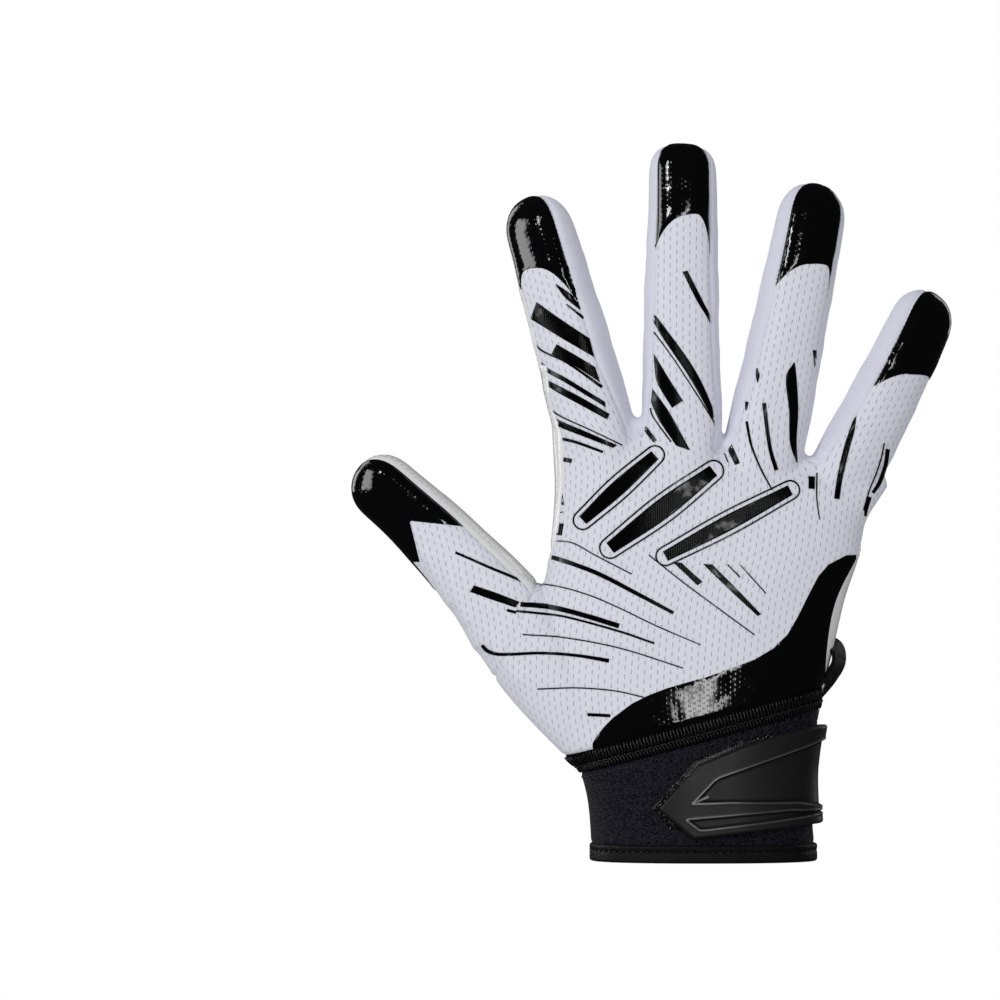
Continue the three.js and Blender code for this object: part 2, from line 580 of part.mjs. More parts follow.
pieces.strap_landing = gloveForm(landingTop, 1).subtract(gloveForm(landingTop - LANDING_THICKNESS, 2))
  .intersect(prism(offsetOutline(landingEdge, LANDING_MARGIN))).intersect(backHalf);

// Webbing pull loop on the little finger side, and the folded label on the palm side of the hem
const loopMiddle = { x: 0.350 * KNUCKLE_WIDTH, z: LOOP_HEIGHT + LOOP_LENGTH / 2 };
const loopOval = (shrink) => Array.from({ length: 20 }, (_, i) => ({
  x: loopMiddle.x + (LOOP_REACH * 2 - shrink) * Math.cos(i * 18 * DEGREE),
  z: loopMiddle.z + (LOOP_LENGTH / 2 - shrink) * Math.sin(i * 18 * DEGREE),
}));
pieces.pull_loop = prism(loopOval(0), -LOOP_WIDTH / 2, LOOP_WIDTH / 2).subtract(prism(loopOval(LOOP_THICKNESS)))
  .subtract(gloveForm(BAND_RISE + SEAM_GAP));
const labelTop = BINDING_RISE + SEAM_GAP + LABEL_THICKNESS;
pieces.label = gloveForm(labelTop, 1).subtract(gloveForm(labelTop - LABEL_THICKNESS, 2))
  .intersect(prism([
    { x: LABEL_EDGE, z: -1 }, { x: LABEL_EDGE + LABEL_WIDTH, z: -1 },
    { x: LABEL_EDGE + LABEL_WIDTH, z: LABEL_LENGTH - 1 }, { x: LABEL_EDGE, z: LABEL_LENGTH - 1 },
  ], 0, AWAY));

const FINISHES = {
  palm_panel: ['grip', 0.4], thumb_grip: ['grip', 0.4], back_panel: ['knit', 0.9], thumb_back: ['knit', 0.9],
  wrist_panel: ['gloss', 0.35], cuff: ['foam', 0.95], seam_band: ['trim', 0.85], hem_binding: ['trim', 0.85],
  closure_strap: ['trim', 0.6], strap_landing: ['trim', 0.95], pull_loop: ['trim', 0.85], label: ['label', 0.8],
};

const glove = new THREE.Group();
for (const [name, solid] of Object.entries(pieces)) {
  const cap = name.startsWith('fingertip_cap');
  const [colour, roughness] = cap ? ['gloss', 0.35] : FINISHES[name] || ['knit', 0.9];
  glove.add(nodeFrom(name, solid, COLOURS[colour], roughness));
}

export default glove;
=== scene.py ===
import bpy
import math
import numpy as np
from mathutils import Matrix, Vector
from mathutils.bvhtree import BVHTree
from mathutils.kdtree import KDTree


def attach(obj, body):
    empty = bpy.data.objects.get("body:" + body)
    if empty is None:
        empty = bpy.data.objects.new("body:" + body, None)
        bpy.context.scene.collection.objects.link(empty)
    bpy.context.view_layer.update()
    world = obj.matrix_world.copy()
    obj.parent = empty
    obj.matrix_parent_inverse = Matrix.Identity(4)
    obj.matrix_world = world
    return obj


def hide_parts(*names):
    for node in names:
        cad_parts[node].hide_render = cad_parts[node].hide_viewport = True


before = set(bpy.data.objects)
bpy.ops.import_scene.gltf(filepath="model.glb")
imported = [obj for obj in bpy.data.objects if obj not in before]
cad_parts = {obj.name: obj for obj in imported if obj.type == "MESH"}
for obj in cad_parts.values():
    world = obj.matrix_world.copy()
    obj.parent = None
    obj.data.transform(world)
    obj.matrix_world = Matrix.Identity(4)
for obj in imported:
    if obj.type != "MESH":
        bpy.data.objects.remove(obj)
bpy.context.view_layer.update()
MM = 0.001

# Studio. The glove is seen square on to the back of the hand with a long lens, before a white
# surround. A pale floor lies well below the hem, so that no shadow falls near the glove.
VIEW_DISTANCE = 2.2
PICTURE = 1000                  # pixels across
PIXEL = 0.32 * MM               # one pixel's width on the glove
HEM_PIXEL = 706, 862            # where the middle of the hem lies in the picture
BACK_STANDS_OUT = 0.012         # how far the back of the hand lies before the glove's middle
SENSOR = 36
VIEW_CENTRE = Vector(((PICTURE / 2 - HEM_PIXEL[0]) * PIXEL, 0, (HEM_PIXEL[1] - PICTURE / 2) * PIXEL))
camera_data = bpy.data.cameras.new("camera")
camera_data.sensor_width = SENSOR
camera_data.lens = SENSOR * (VIEW_DISTANCE - BACK_STANDS_OUT) / (PICTURE * PIXEL)
camera_data.clip_start, camera_data.clip_end = 0.1, 30
camera = bpy.data.objects.new("camera", camera_data)
camera.location = VIEW_CENTRE + Vector((0, -VIEW_DISTANCE, 0))
camera.rotation_euler = (math.radians(90), 0, 0)
bpy.context.scene.collection.objects.link(camera)
bpy.context.scene.camera = camera
bpy.context.scene.view_settings.view_transform = "Standard"

FLOOR_RADIUS, FLOOR_Z, FLOOR_SIDES = 3.3, -0.3, 96
floor_mesh = bpy.data.meshes.new("floor")
floor_mesh.from_pydata([(FLOOR_RADIUS * math.cos(a), FLOOR_RADIUS * math.sin(a), FLOOR_Z)
                        for a in np.linspace(0, 2 * math.pi, FLOOR_SIDES, endpoint=False)],
                       [], [list(range(FLOOR_SIDES))])
floor = bpy.data.objects.new("floor", floor_mesh)
bpy.context.scene.collection.objects.link(floor)
floor.visible_glossy = False
floor_paint = bpy.data.materials.new("floor_paint")
floor_paint.use_nodes = True
floor_shader = floor_paint.node_tree.nodes["Principled BSDF"]
floor_shader.inputs["Base Color"].default_value = (0.86, 0.86, 0.86, 1)
floor_shader.inputs["Roughness"].default_value = 0.9
floor_mesh.materials.append(floor_paint)

world = bpy.data.worlds.new("surround")
bpy.context.scene.world = world
world.use_nodes = True
world.cycles.sampling_method = "NONE"
tree = world.node_tree
# light from all round, what shiny surfaces mirror of it, and the white behind the glove
sky, out = tree.nodes["Background"], tree.nodes["World Output"]
reflected, dimmed = tree.nodes.new("ShaderNodeBackground"), tree.nodes.new("ShaderNodeMixShader")
backdrop, either = tree.nodes.new("ShaderNodeBackground"), tree.nodes.new("ShaderNodeMixShader")
rays = tree.nodes.new("ShaderNodeLightPath")
sky.inputs["Color"].default_value = (0.93, 0.95, 1.0, 1)
sky.inputs["Strength"].default_value = 0.32
reflected.inputs["Color"].default_value = (0.9, 0.93, 1.0, 1)
reflected.inputs["Strength"].default_value = 0.02
backdrop.inputs["Color"].default_value = (1, 1, 1, 1)
tree.links.new(rays.outputs["Is Glossy Ray"], dimmed.inputs["Fac"])
tree.links.new(sky.outputs[0], dimmed.inputs[1])
tree.links.new(reflected.outputs[0], dimmed.inputs[2])
tree.links.new(rays.outputs["Is Camera Ray"], either.inputs["Fac"])
tree.links.new(dimmed.outputs[0], either.inputs[1])
tree.links.new(backdrop.outputs[0], either.inputs[2])
tree.links.new(either.outputs[0], out.inputs["Surface"])


AIM = Vector((-0.02, 0, 0.12))


def softbox(name, place, width, height, power, mirrored=True, lighting=True):
    # mirrored: the lamp itself is seen in shiny surfaces; lighting: it lights matt ones
    data = bpy.data.lights.new(name, "AREA")
    data.shape, data.size, data.size_y, data.energy = "RECTANGLE", width, height, power
    box = bpy.data.objects.new(name, data)
    box.location = place
    box.visible_glossy, box.visible_diffuse = mirrored, lighting
    box.rotation_euler = (AIM - Vector(place)).to_track_quat("-Z", "Y").to_euler()
    bpy.context.scene.collection.objects.link(box)


softbox("key", (-0.95, -1.25, 0.85), 0.5, 0.8, 8.0, mirrored=False)
softbox("fill", (1.1, -1.0, 0.25), 0.7, 1.0, 0.9, mirrored=False)
softbox("kicker", (-0.80, -1.05, 1.0), 0.2, 0.2, 2.0)
softbox("left_panel", (-1.42, -0.42, 0.45), 0.62, 1.0, 7.5, lighting=False)
softbox("front_strip", (0.13, -1.5, 0.45), 0.15, 0.9, 3.1)
softbox("rim_left", (-0.9, 0.7, 0.5), 0.4, 1.0, 2.5)
softbox("rim_right", (0.8, 0.9, 0.5), 0.4, 1.0, 1.5)

# Form of the glove. All sewn panels take their shape from one open form: a broad palm, four
# fingers and a thumb, each a stack of soft-cornered sections, grown into one skin. Millimetres.
HAND_LENGTH = 138.0
KNUCKLE_WIDTH = 102.0
PALM_DEPTH = 40.0
HEM_WIDTH = 72.6
ROUNDNESS = 2.4
K, H = KNUCKLE_WIDTH, HAND_LENGTH          # short names for the tables
# columns: at, left x, left z, right x, right z, back, palm, palm wrap on the thumb side, on the other
HAND_ROWS = np.array([
    (0.000, -0.500 * HEM_WIDTH, 0.000 * H, 0.490 * HEM_WIDTH, 0.000 * H, 22.5, 22.5, -48, -6),
    (0.140, -0.520 * HEM_WIDTH, 0.140 * H, 0.470 * HEM_WIDTH, 0.140 * H, 21.6, 21.6, -48, -5),
    (0.225, -0.403 * K, 0.225 * H, 0.335 * K, 0.225 * H, 0.53 * PALM_DEPTH, 0.55 * PALM_DEPTH, -49, -2),
    (0.370, -0.490 * K, 0.370 * H, 0.367 * K, 0.370 * H, 0.49 * PALM_DEPTH, 0.56 * PALM_DEPTH, -50, 4),
    (0.490, -0.515 * K, 0.490 * H, 0.404 * K, 0.490 * H, 0.46 * PALM_DEPTH, 0.53 * PALM_DEPTH, -38, 20),
    (0.610, -0.512 * K, 0.610 * H, 0.440 * K, 0.610 * H, 0.44 * PALM_DEPTH, 0.47 * PALM_DEPTH, -12, 22),
    (0.720, -0.490 * K, 0.728 * H, 0.488 * K, 0.712 * H, 0.42 * PALM_DEPTH, 0.42 * PALM_DEPTH, 8, 10),
    (0.840, -0.474 * K, 0.860 * H, 0.507 * K, 0.785 * H, 0.39 * PALM_DEPTH, 0.36 * PALM_DEPTH, 18, -18),
    (0.930, -0.480 * K, 0.965 * H, 0.545 * K, 0.838 * H, 0.33 * PALM_DEPTH, 0.30 * PALM_DEPTH, 22, -32),
    (1.000, -0.486 * K, 1.046 * H, 0.580 * K, 0.872 * H, 0.17 * PALM_DEPTH, 0.17 * PALM_DEPTH, 26, -36),
])
HAND_TOP = 4.0
# columns: at, share of width, share of depth
FINGER_PROFILE = np.array([
    (-0.45, 0.90, 1.00), (0.00, 1.05, 1.08), (0.30, 1.01, 1.00), (0.62, 0.95, 0.93), (0.86, 0.90, 0.84),
    (1.00, 0.87, 0.76)])
THUMB_PROFILE = np.array([
    (-0.50, 0.90, 1.35), (-0.15, 1.30, 1.45), (0.10, 1.30, 1.32), (0.45, 1.08, 1.04), (0.80, 0.96, 0.88),
    (1.00, 0.90, 0.76)])
DOME = (0.50, 2.3)               # height as a share of the width, and squareness
MIDDLE_DOME = (0.42, 2.8)
CURL_STEPS = 16
HAND_SIDES, FINGER_SIDES, HAND_STATIONS = 120, 56, 70
CUFF_RUN = 12.0                  # how far the form runs on past the hem
VOXEL = 0.85
# length, width, depth, web point x y z, lean from and to, curl from and to, roll, palm wrap from and to
FINGERS = {
    "index": (73.5, 24.4, 21, (-0.359 * K, 0.00, 1.040 * H), (-14.5, -17), (3, 14), -24, (140, 360)),
    "middle": (92.0, 24.4, 21, (-0.074 * K, -2.0, 1.010 * H), (0, 1), (3, 12), 0, (180, 360)),
    "ring": (84.5, 24.4, 21, (0.193 * K, -0.8, 0.985 * H), (12, 11.5), (3, 14), 12, (180, 360)),
    "little": (61.5, 22.0, 19, (0.460 * K, 2.4, 0.930 * H), (28.5, 25), (3, 16), 24, (180, 324)),
    "thumb": (80.0, 22.4, 21, (-0.552 * K, 2.4, 0.503 * H), (-36, -52), (4, 8), -24, (205, 378)),
}


def column(rows, key, at):
    # a smooth curve through one column of a table, by its first column
    x, y = rows[:, 0], rows[:, key]
    slope = np.empty_like(y)
    slope[1:-1] = (y[2:] - y[:-2]) / (x[2:] - x[:-2])
    slope[0], slope[-1] = (y[1] - y[0]) / (x[1] - x[0]), (y[-1] - y[-2]) / (x[-1] - x[-2])
    at = np.clip(at, x[0], x[-1])
    i = np.clip(np.searchsorted(x, at, "right") - 1, 0, len(x) - 2)
    span = x[i + 1] - x[i]
    t = (at - x[i]) / span
    return ((2 * t**3 - 3 * t**2 + 1) * y[i] + (t**3 - 2 * t**2 + t) * span * slope[i]
            + (3 * t**2 - 2 * t**3) * y[i + 1] + (t**3 - t**2) * span * slope[i + 1])


class Sections:
    """Stacked sections of one form. Each station has its centre, half sizes and three directions."""

    def __init__(self, at, centre, side, dorsal, along, half, back, palm):
        self.at, self.centre, self.side, self.dorsal, self.along = at, centre, side, dorsal, along
        self.half, self.back, self.palm = half, back, palm

    def ring(self, k, sides, grow=0.0, scale=1.0):
        angle = np.linspace(0, 2 * math.pi, sides, endpoint=False)
        c, s = np.cos(angle), np.sin(angle)
        power = 2 / ROUNDNESS
        depth = np.where(s >= 0, self.back[k], self.palm[k]) + grow
        u = (self.half[k] + grow) * np.sign(c) * np.abs(c) ** power * scale
        v = depth * np.sign(s) * np.abs(s) ** power * scale
        return self.centre[k] + u[:, None] * self.side[k] + v[:, None] * self.dorsal[k]

    def coordinates(self, points):
        # station, side and dorsal positions (as shares of the half sizes) of each point
        ahead = points @ self.along.T - np.einsum("ij,ij->i", self.centre, self.along)
        k = np.clip((ahead > 0).sum(axis=1), 1, len(self.at) - 1)
        row = np.arange(len(points))
        a, b = ahead[row, k - 1], ahead[row, k]
        t = a / np.where(np.abs(a - b) < 1e-9, 1e-9, a - b)
        t = np.clip(t, -30, 30)[:, None]
        share = np.clip(t[:, 0], 0, 1)

        def mix(values):
            return values[k - 1] + (values[k] - values[k - 1]) * share

        centre = self.centre[k - 1] + (self.centre[k] - self.centre[k - 1]) * t
        offset = points - centre
        u = np.einsum("ij,ij->i", offset, self.side[k])
        v = np.einsum("ij,ij->i", offset, self.dorsal[k])
        at = self.at[k - 1] + (self.at[k] - self.at[k - 1]) * t[:, 0]
        return at, u / mix(self.half), v / np.where(v >= 0, mix(self.back), mix(self.palm)), mix(self.half)


def hand_sections(at):
    left = np.stack([column(HAND_ROWS, 1, at), 0 * at, column(HAND_ROWS, 2, at)], axis=1)
    right = np.stack([column(HAND_ROWS, 3, at), 0 * at, column(HAND_ROWS, 4, at)], axis=1)
    width = np.linalg.norm(right - left, axis=1)
    side = (right - left) / width[:, None]
    along = np.stack([-side[:, 2], 0 * at, side[:, 0]], axis=1)
    beyond = (np.minimum(at, 0) + np.maximum(at - 1, 0)) * HAND_LENGTH
    dorsal = np.tile([0.0, -1.0, 0.0], (len(at), 1))
    return Sections(at, (left + right) / 2 + beyond[:, None] * along, side, dorsal, along, width / 2,
                    column(HAND_ROWS, 5, at), column(HAND_ROWS, 6, at))


def finger_sections(name, at):
    length, width, depth, web, lean, curl, roll, _ = FINGERS[name]
    profile = THUMB_PROFILE if name == "thumb" else FINGER_PROFILE

    def heading(share):
        s = np.maximum(share, 0)
        a, c = np.radians(lean[0] + (lean[1] - lean[0]) * s), np.radians(curl[0] + (curl[1] - curl[0]) * s)
        return np.stack([np.sin(a) * np.cos(c), np.sin(c), np.cos(a) * np.cos(c)], axis=-1)

    centre = np.tile(np.array(web, float), (len(at), 1))
    for part in range(CURL_STEPS):
        centre = centre + heading(at * (part + 0.5) / CURL_STEPS) * (at * length / CURL_STEPS)[:, None]
    along = heading(at)
    flat = np.array([0.0, -1.0, 0.0]) + along * along[:, 1:2]
    flat /= np.linalg.norm(flat, axis=1)[:, None]
    turn = math.radians(roll)
    dorsal = flat * math.cos(turn) + np.cross(along, flat) * math.sin(turn)
    half_depth = column(profile, 2, at) * depth / 2
    return Sections(at, centre, np.cross(along, dorsal), dorsal, along, column(profile, 1, at) * width / 2,
                    half_depth, half_depth)


def tube(rings):
    # vertices and faces of a closed stack of rings
    count = len(rings[0])
    verts = np.concatenate(rings)
    i = np.arange(count)
    j = (i + 1) % count
    faces = [np.stack([r * count + i, r * count + j, (r + 1) * count + j, (r + 1) * count + i], axis=1)
             for r in range(len(rings) - 1)]
    ends = [list(range(count))[::-1], list(range((len(rings) - 1) * count, len(rings) * count))]
    return verts, [list(map(int, f)) for f in np.concatenate(faces)] + ends


def hand_tube():
    sections = hand_sections(np.linspace(0, 1, HAND_STATIONS))
    rings = [sections.ring(k, HAND_SIDES) for k in range(HAND_STATIONS)]
    rings.insert(0, rings[0] - np.array([0, 0, CUFF_RUN]))
    top = hand_sections(np.array([1.0]))
    for share in (0.25, 0.5, 0.7, 0.86, 0.96, 1.0):
        rim = Sections(top.at, top.centre + share * HAND_TOP * top.along, top.side, top.dorsal, top.along,
                       top.half - 2 * share, top.back * math.sqrt(1 - (0.97 * share) ** 2),
                       top.palm * math.sqrt(1 - (0.97 * share) ** 2))
        rings.append(rim.ring(0, HAND_SIDES))
    return tube(rings)


def finger_tube(name):
    length, width = FINGERS[name][:2]
    root = -0.5 if name == "thumb" else -0.45
    share, square = MIDDLE_DOME if name == "middle" else DOME
    dome = share * width
    straight = 1 - dome / length
    at = np.concatenate([np.linspace(root, straight, 60),
                         straight + (1 - straight) * np.sin(np.linspace(0.06, 1, 16) * math.pi / 2)])
    sections = finger_sections(name, at)
    rings = []
    for k, a in enumerate(at):
        past = max(0, (a - straight) / (1 - straight))
        scale = max(0.02, (1 - past**square) ** (1 / square)) if past else 1.0
        rings.append(sections.ring(k, FINGER_SIDES, scale=scale))
    return tube(rings)


def mesh_object(name, verts, faces):
    mesh = bpy.data.meshes.new(name)
    mesh.from_pydata((np.asarray(verts) * MM).tolist(), [], [list(map(int, f)) for f in faces])
    mesh.update()
    obj = bpy.data.objects.new(name, mesh)
    bpy.context.scene.collection.objects.link(obj)
    return obj


def plain_mesh(obj, name):
    # the object with its modifiers applied, as a new plain mesh
    evaluated = obj.evaluated_get(bpy.context.evaluated_depsgraph_get())
    mesh = bpy.data.meshes.new_from_object(evaluated)
    mesh.name = name
    return mesh


def grown_skin():
    verts, faces, start = [], [], 0
    for v, f in [hand_tube()] + [finger_tube(name) for name in FINGERS]:
        verts.append(v)
        faces += [[i + start for i in face] for face in f]
        start += len(v)
    form = mesh_object("form", np.concatenate(verts), faces)
    remesh = form.modifiers.new("grow", "REMESH")
    remesh.mode, remesh.voxel_size = "VOXEL", VOXEL * MM
    smooth = form.modifiers.new("relax", "SMOOTH")
    smooth.factor, smooth.iterations = 0.5, 14
    form.modifiers.new("triangles", "TRIANGULATE")
    mesh = plain_mesh(form, "skin")
    points = np.empty(len(mesh.vertices) * 3)
    mesh.vertices.foreach_get("co", points)
    tris = np.empty(len(mesh.polygons) * 3, int)
    mesh.polygons.foreach_get("vertices", tris)
    bpy.data.objects.remove(form)
    bpy.data.meshes.remove(mesh)
    return points.reshape(-1, 3) / MM, tris.reshape(-1, 3)


def vertex_normals(points, tris):
    a, b, c = points[tris[:, 0]], points[tris[:, 1]], points[tris[:, 2]]
    face = np.cross(b - a, c - a)
    normals = np.zeros_like(points)
    for k in range(3):
        np.add.at(normals, tris[:, k], face)
    return normals / np.maximum(np.linalg.norm(normals, axis=1), 1e-12)[:, None]


skin_points, skin_tris = grown_skin()

# Places on the form. Each point of the skin gets its station along the hand or a finger, its angle
# round it (0 on the +side edge, 90 on the dorsal face) and how far out it is (1 on the surface).
places = {name: finger_sections(name, np.linspace(-0.7, 1.4, 85)) for name in FINGERS}
places["hand"] = hand_sections(np.linspace(-0.3, 1.3, 81))
LENGTHS = {name: row[0] for name, row in FINGERS.items()} | {"hand": HAND_LENGTH}


def placed(name, points):
    at, u, v, half = places[name].coordinates(points)
    c = np.sign(u) * np.abs(u) ** (ROUNDNESS / 2)
    s = np.sign(v) * np.abs(v) ** (ROUNDNESS / 2)
    return at, np.degrees(np.arctan2(s, c)), np.hypot(c, s) ** (2 / ROUNDNESS), half


def step(x, low, high):
    t = np.clip((x - low) / (high - low), 0, 1)
    return t * t * (3 - 2 * t)


def from_line(x, z, start, end):
    # distance from each point to a straight line between two points
    (ax, az), (bx, bz) = start, end
    t = np.clip(((x - ax) * (bx - ax) + (z - az) * (bz - az)) / ((bx - ax) ** 2 + (bz - az) ** 2), 0, 1)
    return np.hypot(x - ax - t * (bx - ax), z - az - t * (bz - az))


# Creases of the worn cloth, in millimetres off the smooth form. Each fold on the thumb's base is a
# soft ridge between two points, x and z, with its width and height.
THUMB_FOLDS = [((-90.0, 99.0), (-82.0, 83.0), 1.6, 0.7), ((-85.0, 97.0), (-76.5, 78.0), 1.8, 0.8),
               ((-78.5, 93.0), (-72.5, 70.0), 2.2, 1.1), ((-72.0, 95.0), (-58.0, 88.5), 2.0, 0.7),
               ((-70.0, 72.0), (-60.0, 58.0), 2.6, 0.7)]


def creased(points, normals):
    lift = np.zeros(len(points))
    at, angle, radius, _ = placed("thumb", points)
    near = step(radius, 1.6, 1.1) * step(at, -0.35, -0.1) * step(at, 0.5, 0.2)
    pleat = np.sin((points[:, 0] * 0.94 + points[:, 2] * 0.34) * 1.05)
    lift += 0.28 * near * pleat * step(points[:, 0], -66, -76)
    for name in ("index", "middle", "ring", "little"):
        at, angle, radius, _ = placed(name, points)
        near = step(radius, 1.5, 1.15) * step(at, 0.02, 0.16) * step(at, 0.82, 0.66)
        ripple = np.sin(at * LENGTHS[name] * 0.33 + 1.3 * np.sin(np.radians(angle)) + len(name))
        fine = np.sin(at * LENGTHS[name] * 0.78 + 2.1 * np.sin(np.radians(angle) + 1.0))
        lift += near * (0.10 * ripple + 0.04 * fine)
    x, y, z = points.T
    # a bulge with a dip above it beside the little finger's knuckle
    bulge = np.exp(-((x - 55) / 8) ** 2 - ((z - 116) / 6) ** 2)
    dip = np.exp(-((x - 54) / 7) ** 2 - ((z - 126) / 4) ** 2)
    lift += 0.35 * (bulge - 0.8 * dip)
    for start, end, width, height in THUMB_FOLDS:
        away = from_line(x, z, start, end)
        lift += height * np.exp(-(away / width) ** 2) * step(y, 8, 2)
    # the hollow beside the thumb is drawn flat
    off, along = (x + 51.5) * 0.932 + (z - 83.8) * 0.362, (x + 51.5) * 0.362 - (z - 83.8) * 0.932
    hollow = np.exp(-(off / 6.5) ** 2) * step(along, -14, 4) * step(along, 46, 28) * step(y, 2, -4)
    lift += 0.9 * hollow
    broad = np.sin(x * 0.13 + 1.3) * np.sin(z * 0.10 + 0.4 * np.sin(x * 0.09))
    broad += 0.6 * np.sin(x * 0.21 - z * 0.17)
    lift += 0.14 * broad * step(z, 40, 60)
    return points + lift[:, None] * normals


skin_normals = vertex_normals(skin_points, skin_tris)
worn = creased(skin_points, skin_normals)
skin_normals = vertex_normals(worn, skin_tris)


class Cloth:
    """Triangles with values at their corners, cut along the zero lines of fields into labelled panels."""

    def __init__(self, values, tris):
        self.values, self.tris, self.label = values, tris, np.full(len(tris), "", dtype="U32")

    def cut(self, field, label, among=("",)):
        f = np.where(np.abs(field) < 0.05, 0.0, field)
        corner = f[self.tris]
        mixed = (corner.min(axis=1) < 0) & (corner.max(axis=1) > 0)
        split, was = self.tris[mixed], self.label[mixed]
        pairs = np.stack([split, np.roll(split, -1, axis=1)], axis=2).reshape(-1, 2)
        crossing = f[pairs[:, 0]] * f[pairs[:, 1]] < 0
        ends, number = np.unique(np.sort(pairs[crossing], axis=1), axis=0, return_inverse=True)
        t = (f[ends[:, 0]] / (f[ends[:, 0]] - f[ends[:, 1]]))[:, None]
        point = np.full(len(pairs), -1)
        point[crossing] = len(self.values) + number.ravel()
        point = point.reshape(-1, 3)
        between = self.values[ends[:, 0]] * (1 - t) + self.values[ends[:, 1]] * t
        self.values = np.concatenate([self.values, between])
        f = np.concatenate([f, np.zeros(len(ends))])
        rows = np.arange(len(split))
        twice = (point >= 0).sum(axis=1) == 2
        # two edges cross: the corner between them is alone on its side
        first = np.where((point >= 0) & (np.roll(point, 1, axis=1) >= 0), np.arange(3), -1).max(axis=1)
        r, k = rows[twice], first[twice]
        a, b, c = (split[r, (k + n) % 3] for n in range(3))
        ab, ca = point[r, k], point[r, (k + 2) % 3]
        made = [np.stack([a, ab, ca], 1), np.stack([ab, b, c], 1), np.stack([ab, c, ca], 1)]
        marks = [was[r]] * 3
        # one edge crosses: the line leaves through the opposite corner
        r, k = rows[~twice], point[~twice].argmax(axis=1)
        a, b, c = (split[r, (k + n) % 3] for n in range(3))
        made += [np.stack([a, point[r, k], c], 1), np.stack([point[r, k], b, c], 1)]
        marks += [was[r]] * 2
        self.tris = np.concatenate([self.tris[~mixed], *made])
        self.label = np.concatenate([self.label[~mixed], *marks])
        inside = f[self.tris].sum(axis=1) > 0
        self.label[inside & np.isin(self.label, among)] = label

    def borders(self):
        # the corner pairs shared by two panels, with both names
        pairs = np.stack([self.tris, np.roll(self.tris, -1, axis=1)], axis=2).reshape(-1, 2)
        owner = np.repeat(np.arange(len(self.tris)), 3)
        low = np.sort(pairs, axis=1)
        order = np.lexsort((low[:, 1], low[:, 0]))
        low, owner = low[order], owner[order]
        twin = np.nonzero((low[1:] == low[:-1]).all(axis=1))[0]
        first, second = self.label[owner[twin]], self.label[owner[twin + 1]]
        differ = first != second
        return low[twin[differ]], first[differ], second[differ]


# Cutting lines of the panels, as fields in millimetres that are positive inside. A point belongs to
# a finger up to REACH half sizes from its middle.
REACH = 1.45
SIDE_STRIP_ROWS = np.array([(-0.10, 14), (0.04, 26), (0.20, 38), (0.60, 42), (0.90, 36), (1.05, 26)])
WEB_STRIP_WIDTH = 9.0
# share of length from the tip: arch, leg on the thumb's side, leg on the other side; angles round the
# finger: from, to, top of the arch
CAPS = {"index": (0.325, 0.55, 0.42, 42, 142, 110), "middle": (0.268, 0.41, 0.395, 42, 138, 72),
        "ring": (0.322, 0.44, 0.45, 42, 138, 62), "little": (0.425, 0.52, 0.63, -34, 138, 35),
        "thumb": (0.58, 0.58, 0.58, 20, 202, 110)}
THUMB_CAP_EDGE = [(-91.6, 96.0), (-95.1, 109.2), (-66.0, 106.0), (-50, 130), (-90, 190), (-150, 190),
                  (-150, 96)]
WRIST_PANEL_EDGE = np.array([
    (-0.360, 0.200), (-0.356, 0.276), (-0.342, 0.294), (-0.320, 0.315), (-0.292, 0.336), (-0.235, 0.368),
    (-0.182, 0.388), (-0.125, 0.404), (-0.060, 0.418), (0.000, 0.430), (0.150, 0.470), (0.210, 0.496),
    (0.255, 0.528), (0.290, 0.572), (0.322, 0.620), (0.352, 0.662), (0.385, 0.690), (0.442, 0.711),
    (0.600, 0.716), (0.600, 0.250)]) * (K, H)
THUMB_SEAM = np.array([(-0.488, 0.722), (-0.560, 0.590), (-0.690, 0.385)]) * (K, H)
BAND_HEIGHT, BAND_SLOPE, BAND_WIDTH = 39.0, 15.0, 6.5
BINDING_HEIGHT = 5.2


def sector(name, points, low, high, start, end, legs=0.0):
    at, angle, radius, half = placed(name, points)
    middle, span = (low(at) + high(at)) / 2, (high(at) - low(at)) / 2
    off = np.abs((angle - middle + 180) % 360 - 180)
    first = start - legs * np.clip(off / span, 0, 1) ** 2.5
    return np.minimum.reduce([(span - off) * half / 60, (at - first) * LENGTHS[name],
                              (end - at) * LENGTHS[name], (REACH - radius) * half])


def within(x, z, outline):
    # distance to a front view outline, positive inside it
    outline = np.asarray(outline, float)
    best, inside = np.full(len(x), 1e9), np.zeros(len(x), bool)
    for (ax, az), (bx, bz) in zip(outline, np.roll(outline, -1, axis=0)):
        best = np.minimum(best, from_line(x, z, (ax, az), (bx, bz)))
        if az != bz:
            inside ^= ((az > z) != (bz > z)) & (x < (bx - ax) * (z - az) / (bz - az) + ax)
    return np.where(inside, best, -best)


def cap_field(name, points):
    arch, low_leg, high_leg, low, high, top = CAPS[name]
    at, angle, radius, half = placed(name, points)
    middle = (low + high) / 2
    angle = middle + (angle - middle + 180) % 360 - 180
    share = np.clip(np.where(angle < top, (top - angle) / (top - low), (angle - top) / (high - top)), 0, 1)
    start = 1 - arch - np.where(angle < top, low_leg - arch, high_leg - arch) * share ** 2.2
    wavy = 0.12 * np.sin(at * LENGTHS[name] * 4.1) * (1 if name != "thumb" else 0)
    field = np.minimum.reduce([((high - low) / 2 - np.abs(angle - middle)) * half / 60 + wavy,
                               (at - start) * LENGTHS[name], (REACH - radius) * half])
    if name == "thumb":
        behind = np.clip(points[:, 1] - 2, 0, None) * 0.8
        outline = within(points[:, 0], points[:, 2], THUMB_CAP_EDGE)
        field = np.minimum(field, np.maximum(outline, behind - 1.5))
    return field


